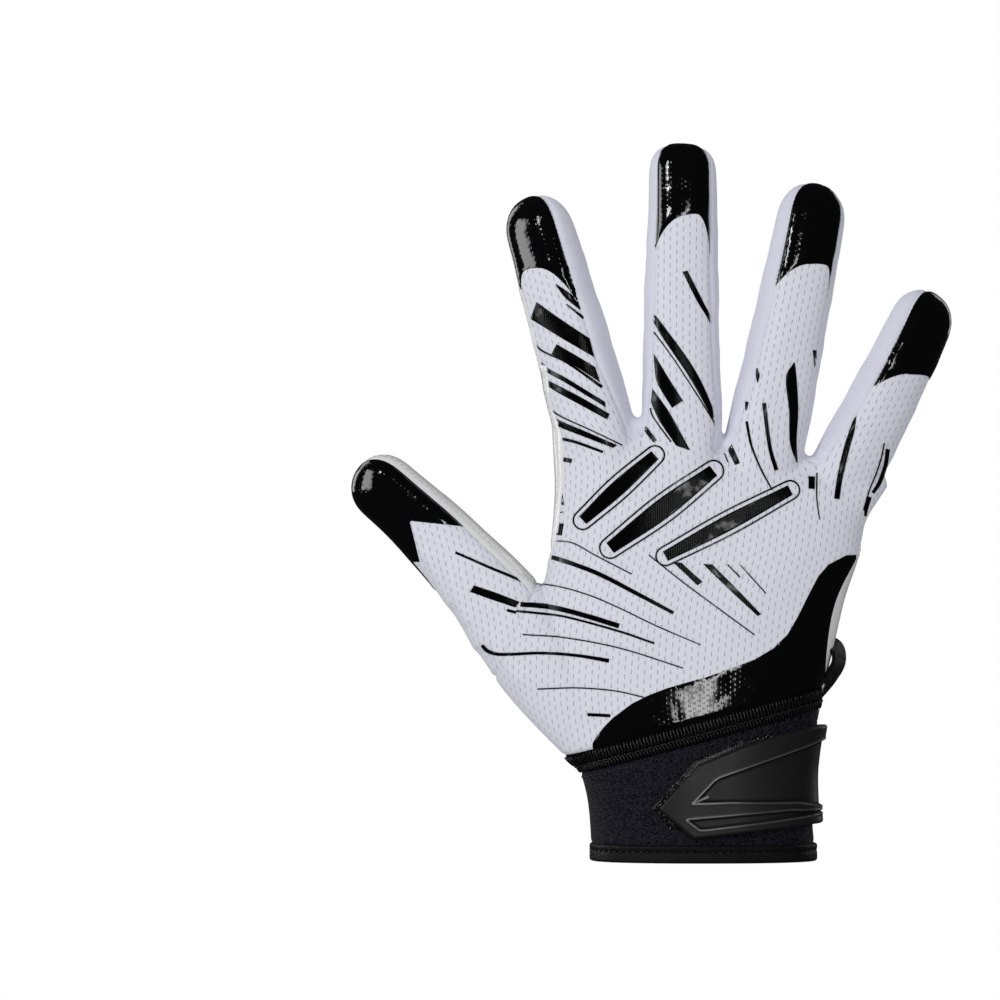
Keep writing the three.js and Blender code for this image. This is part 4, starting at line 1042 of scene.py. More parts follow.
# Strokes of the back. x from the middle of the wrist and z above the hem, in millimetres: centre
# lines with widths, or both edges of a bar with slanted ends.
BACK_STROKES = [
    # index finger
    ([(-54.1, 179.4), (-45.8, 173.4), (-37.4, 167.7)], [(-56.0, 174.1), (-46.1, 167.7), (-35.8, 161.6)]),
    ([(-47.7, 165.8), (-41.6, 162.2), (-35.5, 158.4)], [(-49.3, 162.7), (-41.9, 158.7), (-33.9, 153.5)]),
    [(-54.7, 166.1, 0.4), (-52.2, 163.7, 0.5), (-44.5, 159.9, 0.7), (-33.3, 152.0, 1.0)],
    ([(-53.4, 161.3), (-50.8, 158.4), (-45.1, 155.2), (-32.4, 147.3)],
     [(-53.4, 161.0), (-51.0, 157.2), (-45.4, 153.7), (-32.1, 145.5)]),
    ([(-52.2, 155.2), (-48.3, 153.1), (-40.6, 149.1), (-30.9, 143.4)],
     [(-51.8, 153.6), (-48.3, 150.9), (-41.3, 146.9), (-31.7, 141.6)]),
    [(-50.6, 145.6, 0.4), (-46.4, 142.7, 0.4), (-36.8, 138.2, 0.4), (-26.9, 133.4, 0.4)],
    ([(-50.2, 143.7), (-47.7, 141.8), (-38.7, 137.9), (-28.5, 133.4)],
     [(-49.9, 141.4), (-47.0, 139.4), (-38.7, 136.0), (-29.8, 132.5)]),
    [(-49.9, 138.6, 0.4), (-47.0, 136.0, 0.9), (-41.6, 134.4, 0.9), (-33.0, 131.2, 0.8)],
    [(-49.0, 131.5, 0.5), (-46.7, 129.4, 1.2), (-42.9, 128.3, 1.4)],
    ([(-48.0, 185.3), (-41.6, 180.5), (-40.0, 177.3)], [(-47.7, 184.3), (-45.1, 180.8), (-39.9, 176.5)]),
    [(-44.6, 178.6, 0.4), (-39.2, 174.2, 0.9)],
    # middle finger
    ([(-5.8, 189.4), (-1.0, 179.8), (2.9, 171.8), (3.1, 169.3)],
     [(-7.4, 189.0), (-2.9, 179.8), (1.0, 173.4), (2.8, 169.1)]),
    ([(-17.0, 176.3), (-13.1, 171.2), (-3.5, 157.4), (1.9, 145.9), (2.4, 142.0)],
     [(-16.8, 173.4), (-14.1, 168.3), (-5.4, 155.2), (0.4, 145.0), (2.0, 142.1)]),
    [(-16.8, 170.1, 0.4), (-9.9, 160.3, 0.4), (2.2, 141.4, 0.4), (3.5, 138.6, 0.4), (7.0, 128.0, 0.4)],
    ([(-16.5, 162.6), (-12.5, 155.8), (-7.4, 147.6)], [(-16.5, 160.6), (-15.6, 153.6), (-10.9, 145.3)]),
    ([(-17.0, 151.4), (-11.8, 144.0), (-5.1, 131.7)], [(-17.5, 147.2), (-15.0, 141.4), (-9.6, 133.2)]),
    [(-17.7, 145.3, 0.4), (-17.0, 142.7, 0.4), (-11.2, 134.4, 0.5)],
    ([(-19.2, 139.8), (-15.7, 135.0)], [(-20.3, 138.9), (-16.8, 134.3)]),
    # ring finger and the stripes that run down from it
    [(16.5, 158.1, 0.2), (16.7, 155.8, 1.2), (16.6, 153.5, 0.2)],
    ([(28.3, 160.0), (25.7, 155.5), (26.6, 144.6), (27.0, 133.8), (29.2, 127.7)],
     [(28.5, 159.9), (29.1, 154.9), (29.6, 144.6), (29.1, 135.0), (29.4, 127.7)]),
    ([(34.4, 164.0), (35.1, 157.4), (35.1, 153.1)], [(36.2, 163.8), (35.8, 157.4), (35.2, 153.1)]),
    [(13.3, 147.3, 1.0), (12.9, 144.6, 0.5)],
    [(13.1, 141.0, 0.8), (13.8, 136.6, 0.8), (14.6, 133.0, 0.7), (17.3, 126.2, 0.6), (21.1, 119.0, 0.4)],
    [(18.6, 146.9, 1.3), (19.5, 138.9, 1.2), (20.6, 131.8, 1.2), (22.5, 125.4, 1.3)],
    ([(4.8, 137.6), (7.0, 132.2), (9.3, 127.0)], [(6.7, 138.1), (8.8, 132.8), (10.9, 127.7)]),
    # little finger and outer knuckles
    [(48.6, 144.2, 0.2), (46.9, 137.8, 1.6), (45.3, 132.8, 1.9), (43.0, 123.0, 1.8), (41.9, 116.2, 1.8)],
    [(57.4, 134.1, 0.4), (56.4, 129.1, 0.4), (54.8, 124.2, 0.4), (52.5, 118.7, 0.4), (50.7, 112.5, 0.4)],
    [(58.6, 132.2, 1.3), (57.9, 126.7, 1.3), (55.8, 121.1, 1.3), (53.7, 118.1, 1.0)],
    [(52.7, 116.8, 1.3), (51.7, 113.8, 1.3), (51.3, 110.7, 0.7)],
    [(34.0, 123.3, 2.1), (33.8, 119.4, 2.0)],
    [(35.7, 124.5, 0.5), (35.4, 116.6, 0.4), (36.3, 109.6, 0.3)],
    # short marks on the thumb's side
    [(-46.6, 117.6, 1.6), (-46.2, 114.2, 1.6)],
    [(-46.9, 111.8, 0.4), (-45.8, 112.0, 0.4)],
    [(-46.4, 108.4, 1.9), (-47.0, 104.6, 1.9)],
    # long stripes across the hand
    [(-48.3, 102.8, 0.4), (-42.7, 102.1, 0.4), (-35.5, 98.2, 0.4), (-23.9, 92.2, 0.4)],
    [(-53.1, 98.1, 0.8), (-48.3, 97.2, 1.4), (-41.5, 95.0, 1.4), (-33.9, 92.0, 1.4), (-21.9, 85.8, 1.3),
     (-10.6, 79.8, 1.1)],
    [(-57.9, 89.3, 0.4), (-47.5, 88.2, 0.4), (-37.1, 85.3, 0.4), (-27.5, 81.2, 0.4), (-16.3, 75.8, 0.4),
     (-1.9, 69.6, 0.3)],
    [(-59.4, 82.4, 1.5), (-51.5, 81.8, 1.6), (-45.1, 80.6, 1.6), (-36.3, 78.2, 1.6), (-27.9, 75.6, 1.6)],
    [(-60.7, 80.3, 0.7), (-53.1, 79.5, 0.7), (-45.1, 78.5, 0.7), (-27.5, 73.8, 0.7), (-16.7, 70.1, 0.7)],
    [(-58.7, 72.8, 0.4), (-45.1, 71.8, 0.4), (-27.5, 68.5, 0.4), (-7.5, 62.2, 0.4)],
    [(-71.7, 69.3, 0.9), (-69.8, 67.4, 1.1), (-65.9, 66.4, 1.0), (-53.1, 66.9, 0.9), (-41.1, 66.1, 1.0),
     (-31.1, 64.5, 1.3)],
    [(-53.9, 55.4, 0.4), (-41.1, 55.8, 0.4), (-29.1, 54.9, 0.4), (-19.5, 52.8, 0.4)],
    [(-37.9, 47.3, 1.0), (-30.7, 47.0, 1.0)],
    # stripes that slant down from the middle motif
    [(-18.3, 98.2, 0.4), (-6.7, 89.0, 0.4), (15.3, 72.8, 0.4)],
    ([(-7.9, 95.8), (-4.7, 92.8), (-1.3, 89.8)], [(-10.9, 96.1), (-6.7, 92.2), (-2.9, 88.6)]),
    ([(1.8, 95.3), (9.7, 87.4), (17.4, 79.4)], [(-1.1, 95.4), (7.5, 87.0), (16.3, 78.8)]),
    [(6.7, 95.2, 0.4), (10.7, 91.2, 0.5)],
    [(10.9, 95.0, 0.4), (18.9, 86.1, 0.4)],
]
THUMB_STROKES = [
    [(-80.2, 99.0, 0.8), (-74.7, 96.6, 0.8), (-69.1, 94.1, 0.8), (-63.5, 91.8, 0.8), (-57.9, 89.3, 0.7)],
    ([(-74.3, 88.5), (-67.1, 86.1), (-59.7, 83.2)], [(-75.5, 86.4), (-68.2, 83.8), (-61.0, 81.4)]),
    [(-63.7, 80.6, 0.9), (-60.7, 79.8, 0.9)],
]
# the motif in the middle: three bars that lean over one another, each with a thin line round it
MOTIF = [
    [(-39.4, 109.4, 3.4), (-27.8, 120.0, 5.0), (-16.3, 130.2, 3.4)],
    [(-30.7, 100.5, 4.0), (-13.7, 113.2, 6.4), (2.3, 125.2, 4.0)],
    [(-13.1, 97.9, 3.4), (6.9, 108.5, 5.0), (26.9, 119.0, 3.4)],
]
MOTIF_GAP, MOTIF_LINE = 1.3, 0.5


def raised_print():
    made, tree, shader = paint("raised_print", (0.0018, 0.0018, 0.002), 0.12, Specular_IOR_Level=0.12,
                               Coat_Weight=0.1, Coat_Roughness=0.05)
    patches = noise(tree, grain_map(tree), 0.22, 3.0)
    tree.links.new(ranged(tree, patches, 0.50, 0.64, 0.02, 0.5), shader.inputs["Coat Weight"])
    weave = use(tree, KNIT, Across=0.7, Along=0.55, Grain=1.0)["Height"]
    tree.links.new(ranged(tree, weave, 0.2, 0.9, 0.08, 0.2), shader.inputs["Roughness"])
    relief(tree, shader, weave, 0.05)
    return made


stripe_print = raised_print()
back_strokes = BACK_STROKES + MOTIF + [keyline(bar, MOTIF_GAP, MOTIF_LINE) for bar in MOTIF]
finish(strokes_object("back_stripes", back_strokes, 1, ["back_panel", "thumb_back"], PRINT_HEIGHT),
       stripe_print, "gloss_overlay", "back_panel")
finish(strokes_object("thumb_stripes", THUMB_STROKES, 1, ["thumb_back", "back_panel"], PRINT_HEIGHT),
       stripe_print, "gloss_overlay", "thumb_back")

# Strokes of the palm, seen from the palm side with x still toward the little finger
PALM_STROKES = [
    # index finger
    [(-29.4, 163.2, 0.7), (-55.5, 169.4, 1.0)],
    ([(-28.1, 158.0), (-55.5, 164.8)], [(-27.7, 149.8), (-55.5, 159.9)]),
    [(-25.3, 145.2, 0.6), (-54.7, 155.8, 1.3)],
    # middle and ring fingers
    [(3.6, 161.1, 2.0), (-10.8, 164.2, 0.4)],
    [(32.1, 136.6, 1.4), (10.9, 143.1, 0.6)],
    [(45.2, 133.5, 0.8), (36.5, 137.9, 1.2)],
    # stripes that come in from the little finger's edge
    [(53.4, 112.6, 3.4), (48.4, 118.3, 3.2), (37.0, 122.4, 2.8), (17.9, 125.7, 1.0)],
    [(52.5, 102.0, 1.5), (46.0, 107.7, 1.4), (35.4, 112.6, 1.0), (23.2, 115.0, 0.6)],
    [(49.3, 90.5, 1.4), (41.9, 95.4, 1.5), (28.1, 102.8, 1.2)],
    [(46.0, 86.1, 4.2), (38.7, 92.2, 4.4), (29.7, 97.1, 4.2)],
    [(46.0, 77.5, 0.6), (36.2, 83.2, 1.0)],
    [(44.4, 60.3, 2.9), (30.5, 67.7, 2.9)],
    [(42.3, 50.6, 0.6), (26.4, 58.7, 0.7)],
    ([(41.9, 48.1), (19.9, 58.7)], [(39.5, 36.2), (17.4, 54.6)]),
    # long stripes from the heel of the hand to the thumb
    [(38.7, 25.2, 0.8), (15.8, 45.7, 0.8), (-8.7, 65.2, 0.8), (-25.0, 77.5, 0.7)],
    ([(37.0, 19.5), (12.5, 40.7), (-8.7, 60.3), (-25.0, 74.2), (-47.0, 88.1)],
     [(35.4, 10.6), (7.6, 36.7), (-15.2, 53.8), (-31.6, 67.7), (-47.0, 82.4)]),
    ([(-16.8, 44.8), (-31.6, 59.5), (-41.3, 73.4), (-48.7, 84.0)],
     [(-21.7, 41.6), (-36.4, 55.5), (-46.2, 70.1), (-54.4, 84.0)]),
    [(0.3, 4.3, 1.4), (-20.1, 26.0, 1.4)],
    [(-7.0, 4.3, 4.0), (-21.7, 18.7, 4.0)],
    [(-16.8, 4.3, 1.2), (-21.7, 8.9, 1.2)],
]
PALM_MOTIF = [
    [(25.0, 76.0, 6.0), (13.5, 101.0, 8.6), (3.0, 124.0, 6.0)],
    [(7.0, 80.0, 6.5), (-6.5, 106.0, 9.6), (-19.0, 130.0, 6.5)],
    [(-13.0, 82.0, 6.0), (-25.0, 104.0, 8.6), (-36.0, 125.0, 6.0)],
]
THUMB_PALM_STROKES = [
    [(-67.0, 84.0, 4.0), (-79.0, 94.5, 4.2), (-91.0, 103.0, 4.0)],
    [(-62.0, 92.0, 0.5), (-79.0, 107.0, 0.5)],
    [(-62.0, 79.5, 1.8), (-74.0, 87.0, 0.8)],
]
PALM_MOTIF_GAP, PALM_MOTIF_LINE = 1.6, 0.9
palm_strokes = PALM_STROKES + PALM_MOTIF
palm_strokes += [keyline(bar, PALM_MOTIF_GAP, PALM_MOTIF_LINE) for bar in PALM_MOTIF]
finish(strokes_object("palm_stripes", palm_strokes, -1, ["palm_panel"], PALM_PRINT_HEIGHT),
       stripe_print, "gloss_overlay", "palm_panel")
finish(strokes_object("thumb_front_stripes", THUMB_PALM_STROKES, -1, ["thumb_grip"], PALM_PRINT_HEIGHT),
       stripe_print, "gloss_overlay", "thumb_grip")


# Cuff. Thin foam between two knits, black with a navy cast, soft and matt, cut low on the palm.
def foam_knit():
    made, tree, shader = paint("foam_knit", (0.006, 0.006, 0.012), 0.9, Specular_IOR_Level=0.3,
                               Sheen_Weight=0.05, Sheen_Roughness=0.4)
    turned = node(tree, "ShaderNodeMapping", {"Vector": grain_map(tree), "Rotation": (0, 0, 0.3),
                                              "Scale": (1.7, 3.0, 1)})
    loops = node(tree, "ShaderNodeTexVoronoi", {"Vector": turned.outputs[0], "Scale": 1.0,
                                                "Randomness": 0.8}).outputs[0]
    cloudy = noise(tree, grain_map(tree), 0.5, 4.0)
    height = sums(tree, "SUBTRACT", sums(tree, "MULTIPLY_ADD", cloudy, 0.1, 0.6), loops)
    # the colour follows the height: near black between the loops, dark navy on their tops, partly the knit's
    # own lighter threads, partly painted shade and painted highlight of the pebbled surface
    tone = node(tree, "ShaderNodeMapRange", {0: height, 1: 0.0, 2: 0.55, 3: 0.0, 4: 1.0}).outputs[0]
    colour = node(tree, "ShaderNodeMix", {0: tone, 6: (0.0004, 0.0004, 0.001, 1), 7: (0.034, 0.030, 0.055, 1)},
                  data_type="RGBA")
    tree.links.new(colour.outputs[2], shader.inputs["Base Color"])
    relief(tree, shader, height, 0.3)
    return made


finish(panel("cuff", 2.6), foam_knit(), "foam_knit", "cuff")


# Seam band. Hand and cuff meet edge to edge under a dense cover of black thread, two rows of
# ladder stitches with a chain between them.
def thread_paint(name, dark, light, rough, coat):
    made, tree, shader = paint(name, dark, rough, Sheen_Weight=0.05, Coat_Weight=coat, Coat_Roughness=0.12)
    where = node(tree, "ShaderNodeTexCoord").outputs["Object"]
    fibres = node(tree, "ShaderNodeTexNoise", {"Vector": where, "Scale": 1400.0, "Detail": 2.0}).outputs["Fac"]
    tone = node(tree, "ShaderNodeMix", {0: fibres, 6: (*dark, 1), 7: (*light, 1)}, data_type="RGBA")
    tree.links.new(tone.outputs[2], shader.inputs["Base Color"])
    relief(tree, shader, fibres, 0.05)
    return made


black_thread = thread_paint("black_thread", (0.001, 0.001, 0.0012), (0.008, 0.008, 0.010), 0.26, 0.45)
white_thread = thread_paint("white_thread", (0.70, 0.70, 0.73), (0.88, 0.88, 0.90), 0.6, 0.0)


def thread_bed():
    made, tree, shader = paint("thread_bed", (0.001, 0.001, 0.001), 0.8, Specular_IOR_Level=0.05)
    packed = use(tree, KNIT, Across=1.05, Along=0.8, Grain=1.0)["Height"]
    tone = blend(tree, packed, (0.0003, 0.0003, 0.0004), (0.003, 0.003, 0.0035))
    tree.links.new(tone, shader.inputs["Base Color"])
    relief(tree, shader, packed, 0.2)
    return made


finish(panel("seam_band", 2.4, 0.2), thread_bed(), "thread_band", "seam_band")


def stitch_tree():
    # a rounded stitch on each point, lying along the point's direction
    tree = bpy.data.node_groups.new("stitches", "GeometryNodeTree")
    for name, kind in (("Places", "Geometry"), ("Thickness", "Float"), ("Thread", "Material")):
        tree.interface.new_socket(name=name, in_out="INPUT", socket_type="NodeSocket" + kind)
    tree.interface.new_socket(name="Stitches", in_out="OUTPUT", socket_type="NodeSocketGeometry")
    given, result = tree.nodes.new("NodeGroupInput"), tree.nodes.new("NodeGroupOutput")

    def read(name, kind):
        return node(tree, "GeometryNodeInputNamedAttribute", {"Name": name}, data_type=kind).outputs[0]

    along, out = read("along", "FLOAT_VECTOR"), read("out", "FLOAT_VECTOR")
    lying = node(tree, "FunctionNodeAlignRotationToVector", {"Vector": along}, axis="X")
    facing = node(tree, "FunctionNodeAlignRotationToVector", {"Rotation": lying.outputs[0], "Vector": out},
                  axis="Z", pivot_axis="X")
    half = sums(tree, "MULTIPLY", given.outputs["Thickness"], 0.5)
    half_length = sums(tree, "MULTIPLY", read("length", "FLOAT"), 0.5)
    size = node(tree, "ShaderNodeCombineXYZ", {0: half_length, 1: half, 2: half})
    bead = node(tree, "GeometryNodeMeshUVSphere", {"Segments": 6, "Rings": 4, "Radius": 1.0})
    laid = node(tree, "GeometryNodeInstanceOnPoints",
                {"Points": given.outputs["Places"], "Instance": bead.outputs["Mesh"],
                 "Rotation": facing.outputs[0],
                 "Scale": size.outputs[0]})
    real = node(tree, "GeometryNodeRealizeInstances", {0: laid.outputs[0]})
    thread = node(tree, "GeometryNodeSetMaterial",
                  {"Geometry": real.outputs[0], "Material": given.outputs["Thread"]})
    tree.links.new(thread.outputs[0], result.inputs[0])
    return tree


STITCHES = stitch_tree()


def stitches(name, rows, thickness, thread, slot, *nodes):
    # rows: points, directions, normals and lengths of stitches, in millimetres
    points, along, out, length = (np.concatenate([np.asarray(row[k], float) for row in rows])
                                  for k in range(4))
    start = mesh_object(name + "_places", points, [])
    for key, values in (("along", along), ("out", out)):
        start.data.attributes.new(key, "FLOAT_VECTOR", "POINT").data.foreach_set("vector", values.ravel())
    start.data.attributes.new("length", "FLOAT", "POINT").data.foreach_set("value", length * MM)
    lay = start.modifiers.new("lay", "NODES")
    lay.node_group = STITCHES
    sockets = {item.name: item.identifier for item in STITCHES.interface.items_tree
               if item.in_out == "INPUT"}
    lay[sockets["Thickness"]] = thickness * MM
    lay[sockets["Thread"]] = thread
    mesh = plain_mesh(start, name)
    mesh.shade_smooth()
    places_mesh = start.data
    bpy.data.objects.remove(start)
    bpy.data.meshes.remove(places_mesh)
    obj = bpy.data.objects.new(name, mesh)
    bpy.context.scene.collection.objects.link(obj)
    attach(obj, "root")
    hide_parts(*nodes)


def contour(field, labels):
    # the lines on the cloth where a field is zero, as chains of points and normals
    chosen = cloth.tris[np.isin(cloth.label, labels)]
    value = field[chosen]
    mixed = (value > 0).any(axis=1) & (value <= 0).any(axis=1)
    tri, value = chosen[mixed], value[mixed]
    pair = np.stack([tri, np.roll(tri, -1, axis=1)], axis=2).reshape(-1, 2)
    value = np.stack([value, np.roll(value, -1, axis=1)], axis=2).reshape(-1, 2)
    crossing = (value[:, 0] > 0) != (value[:, 1] > 0)
    pair, value = pair[crossing], value[crossing]
    t = (value[:, 0] / (value[:, 0] - value[:, 1]))[:, None]
    at = np.concatenate([rolled, normal], axis=1)
    at = at[pair[:, 0]] * (1 - t) + at[pair[:, 1]] * t
    _, first, number = np.unique(np.sort(pair, axis=1), axis=0, return_index=True, return_inverse=True)
    number = number.reshape(-1, 2)
    links = {}
    for a, b in number.tolist():
        links.setdefault(a, []).append(b)
        links.setdefault(b, []).append(a)
    chains, left = [], set(links)
    for begin in sorted(links, key=lambda k: len(links[k])):
        if begin not in left:
            continue
        chain = [begin]
        left.discard(begin)
        while True:
            following = [k for k in links[chain[-1]] if k in left]
            if not following:
                break
            chain.append(following[0])
            left.discard(following[0])
        chains.append(at[first[chain]])
    return sorted(chains, key=len, reverse=True)


def row_along(chain, pitch, length, lift=0.0, lean=0.0, keep=None, shift=0.0):
    # stitches at an even pitch along a chain; lean turns each one out of the row, in degrees
    along = np.concatenate([[0], np.cumsum(np.linalg.norm(np.diff(chain[:, :3], axis=0), axis=1))])
    at = np.arange(pitch * (0.5 + shift), along[-1], pitch)
    points = np.stack([np.interp(at, along, chain[:, k]) for k in range(3)], 1)
    out = np.stack([np.interp(at, along, chain[:, k]) for k in range(3, 6)], 1)
    out /= np.maximum(np.linalg.norm(out, axis=1), 1e-9)[:, None]
    ahead = np.stack([np.interp(at + 1.2, along, chain[:, k]) for k in range(3)], 1)
    behind = np.stack([np.interp(at - 1.2, along, chain[:, k]) for k in range(3)], 1)
    way = ahead - behind
    way /= np.maximum(np.linalg.norm(way, axis=1), 1e-9)[:, None]
    across = np.cross(out, way)
    turn = np.radians(lean) * (np.where(np.arange(len(at)) % 2, -1, 1) if lean and abs(lean) < 90 else 1)
    way = way * np.cos(turn)[..., None] + across * np.sin(turn)[..., None] if np.ndim(turn) else (
        way * math.cos(turn) + across * math.sin(turn))
    kept = np.ones(len(at), bool) if keep is None else keep(points)
    return points[kept] + lift * out[kept], way[kept], out[kept], np.full(kept.sum(), length)


band_height = above_band(spot())
ladder = []
for height, length, lean in ((4.5, 4.4, 86), (1.3, 2.6, 97)):
    for chain in contour(band_height - height, ["seam_band"])[:2]:
        ladder.append(row_along(chain, 1.1, length, 0.45, lean))
for chain in contour(band_height - 2.4, ["seam_band"])[:2]:
    ladder.append(row_along(chain, 1.1, 1.3, 0.62, 24, shift=0.5))
stitches("band_stitches", ladder, 0.66, black_thread, "thread_band", "seam_band")
under = [row_along(chain, 2.0, 1.3, 0.05) for chain in contour(band_height + 1.6, ["cuff"])[:2]]
stitches("cuff_stitches", under, 0.5, black_thread, "thread_band", "cuff")

# White thread. Lock stitches hold the palm's edges beside the fingers, in the crotches and along
# the thumb, and a zigzag in white and black closes the edge between the palm and the cuff.
palm_edge = palm_field(spot())
lock = [row_along(chain, 2.3, 1.5, 0.0) for chain in contour(to_seam - 2.2, ["palm_panel"]) if len(chain) > 20]
stitches("palm_stitches", lock, 0.36, white_thread, "", "palm_panel")
double = [row_along(chain, 2.1, 1.4, 0.0) for away in (1.9, 3.1)
          for chain in contour(to_seam - away, ["thumb_grip"]) if len(chain) > 20]
stitches("thumb_stitches", double, 0.36, white_thread, "", "thumb_grip")
ZIGZAG_TOP, ZIGZAG_PITCH, ZIGZAG_LEAN = 44, 1.5, 38


def beside_cuff(points):
    return points[:, 2] < ZIGZAG_TOP


edge_chains = [chain for chain in contour(palm_edge - 1.0, ["palm_panel"]) if chain[:, 2].min() < 30]
white_rows = [row_along(chain, ZIGZAG_PITCH, 2.4, 0.15, ZIGZAG_LEAN, beside_cuff) for chain in edge_chains]
black_rows = [row_along(chain, ZIGZAG_PITCH, 2.2, 0.1, -ZIGZAG_LEAN, beside_cuff, 0.5)
              for chain in edge_chains]
stitches("edge_zigzag_white", white_rows, 0.42, white_thread, "", "palm_panel")
stitches("edge_zigzag_black", black_rows, 0.4, black_thread, "thread_band", "palm_panel")

# Hem binding. A flat woven tape is folded over the raw edge of the cuff and the palm and sewn
# through once, near its upper edge.
def wrist_point(z, angle, out):
    z, angle, out = np.broadcast_arrays(z, np.radians(angle), out)
    at = np.clip(z / HAND_LENGTH, 0, 0.6)
    left, right = column(HAND_ROWS, 1, at), column(HAND_ROWS, 3, at)
    c, s = np.cos(angle), np.sin(angle)
    depth = np.where(s >= 0, column(HAND_ROWS, 5, at), column(HAND_ROWS, 6, at)) + out
    u = ((right - left) / 2 + out) * np.sign(c) * np.abs(c) ** (2 / ROUNDNESS)
    v = depth * np.sign(s) * np.abs(s) ** (2 / ROUNDNESS)
    return np.stack([(left + right) / 2 + u, -v, z + 0 * u], axis=-1)


def wrist_arc(z, count=721):
    # angles round the wrist at a height, and the arc length from the middle of its back
    angle = np.linspace(-180, 180, count)
    points = wrist_point(np.full(count, z), angle, 0.0)
    length = np.concatenate([[0], np.cumsum(np.linalg.norm(np.diff(points, axis=0), axis=1))])
    return angle, np.interp(90, angle, length) - length


BINDING_OUT, BINDING_THICK, HEM_ROW = 0.7, 3.4, 3.5


def binding():
    profile, corner = [], 0.8
    low, high, inner, outer = 0.0, 5.6, BINDING_OUT - BINDING_THICK, BINDING_OUT
    for (o, z), start in (((outer - corner, high - corner), 0), ((inner + corner, high - corner), 90),
                          ((inner + corner, low + corner), 180), ((outer - corner, low + corner), 270)):
        profile += [(o + corner * math.cos(math.radians(a)), z + corner * math.sin(math.radians(a)))
                    for a in np.linspace(start, start + 90, 6)]
        if start in (0, 180):
            continue
        side = outer if start == 270 else inner
        steps = (0.8, 1.6, 2.2, 2.45, 2.7, 2.95, 3.2, 3.6) if start == 270 else (1.0, 1.9, 2.8)
        profile += [(side, z + (1 if start == 270 else -1) * step) for step in steps]
    profile = np.array(profile)
    drawn_in = 0.4 * np.exp(-((profile[:, 1] - HEM_ROW) / 0.35) ** 2)
    profile[:, 0] -= drawn_in * (profile[:, 0] > outer - 0.1)
    angles, arc = wrist_arc(2.0)
    even = np.interp(np.linspace(arc[-1], arc[0], 221)[:-1], arc[::-1], angles[::-1])
    points = np.concatenate([wrist_point(profile[:, 1] * 0 + 2.0, a, profile[:, 0]) for a in even])
    points[:, 2] = np.tile(profile[:, 1], len(even))
    down = np.concatenate([[0], np.cumsum(np.hypot(*np.diff(profile, axis=0).T))])
    uv = np.stack([np.repeat(np.arange(len(even)) * 1.02, len(profile)), np.tile(down, len(even))], 1)
    faces = ring_grid(len(even), len(profile))
    return solid_mesh("hem_tape", points, faces[:, ::-1], uv, 40)


def binding_tape():
    made, tree, shader = paint("binding_tape", (0.004, 0.004, 0.005), 0.5, Specular_IOR_Level=0.3)
    axes = grain_axes(tree)
    ribs = sums(tree, "SINE", sums(tree, "MULTIPLY", axes[0], 6.2832 / 0.62))
    picks = sums(tree, "SINE", sums(tree, "MULTIPLY", axes[1], 6.2832 / 0.4))
    height = sums(tree, "MULTIPLY_ADD", sums(tree, "MULTIPLY_ADD", picks, 0.4, ribs), 0.35, 0.5)
    tone = node(tree, "ShaderNodeMix", {0: height, 6: (0.0008, 0.0008, 0.001, 1), 7: (0.007, 0.007, 0.008, 1)},
                data_type="RGBA")
    tree.links.new(tone.outputs[2], shader.inputs["Base Color"])
    relief(tree, shader, height, 0.14)
    return made


tape = binding_tape()
finish(binding(), tape, "binding_tape", "hem_binding")


def hem_row(height, pitch, length):
    angles, arc = wrist_arc(height)
    even = np.interp(np.arange(arc[-1], arc[0], pitch), arc[::-1], angles[::-1])
    points = wrist_point(height, even, BINDING_OUT - 0.2)
    way = wrist_point(height, even + 0.5, BINDING_OUT) - wrist_point(height, even - 0.5, BINDING_OUT)
    way /= np.linalg.norm(way, axis=1)[:, None]
    return points, way, np.cross(way, (0, 0, 1.0)), np.full(len(points), length)


stitches("hem_stitches", [hem_row(HEM_ROW, 2.3, 1.7)], 0.45, black_thread, "thread_band", "hem_binding")


# Closure tab and fastener patch. The tab is one moulded rubber plate with a pocket and a channel
# sunk in its face. It is sewn in at the little finger side and grips a patch with its hooks.
def patch_grid(z_low, z_high, from_angle, to_angle, pitch=0.55, palm=False):
    angles, arc = wrist_arc((z_low + z_high) / 2)
    s0, s1 = np.interp([from_angle, to_angle], angles, arc)
    s = np.arange(min(s0, s1), max(s0, s1), pitch)
    z = np.arange(z_low, z_high, pitch)
    angle = np.interp(s, arc[::-1], angles[::-1])
    ss, zz = np.meshgrid(s, z)
    aa = np.broadcast_to(angle, ss.shape)
    values = np.stack([ss.ravel(), zz.ravel(), aa.ravel()], axis=1)
    n = len(s)
    r, c = np.meshgrid(np.arange(len(z) - 1), np.arange(n - 1), indexing="ij")
    a = (r * n + c).ravel()
    tris = np.concatenate([np.stack([a, a + 1, a + n + 1], 1), np.stack([a, a + n + 1, a + n], 1)])
    return Cloth(values, tris)


def inset(outline, distance):
    outline = np.asarray(outline, float)
    following = np.roll(outline, -1, axis=0)
    edge = following - outline
    turn = np.sign((outline[:, 0] * following[:, 1] - outline[:, 1] * following[:, 0]).sum())
    out = np.stack([edge[:, 1], -edge[:, 0]], 1) / np.linalg.norm(edge, axis=1)[:, None] * turn
    mitre = out + np.roll(out, 1, axis=0)
    return outline - mitre * (2 * distance / (mitre ** 2).sum(axis=1))[:, None]


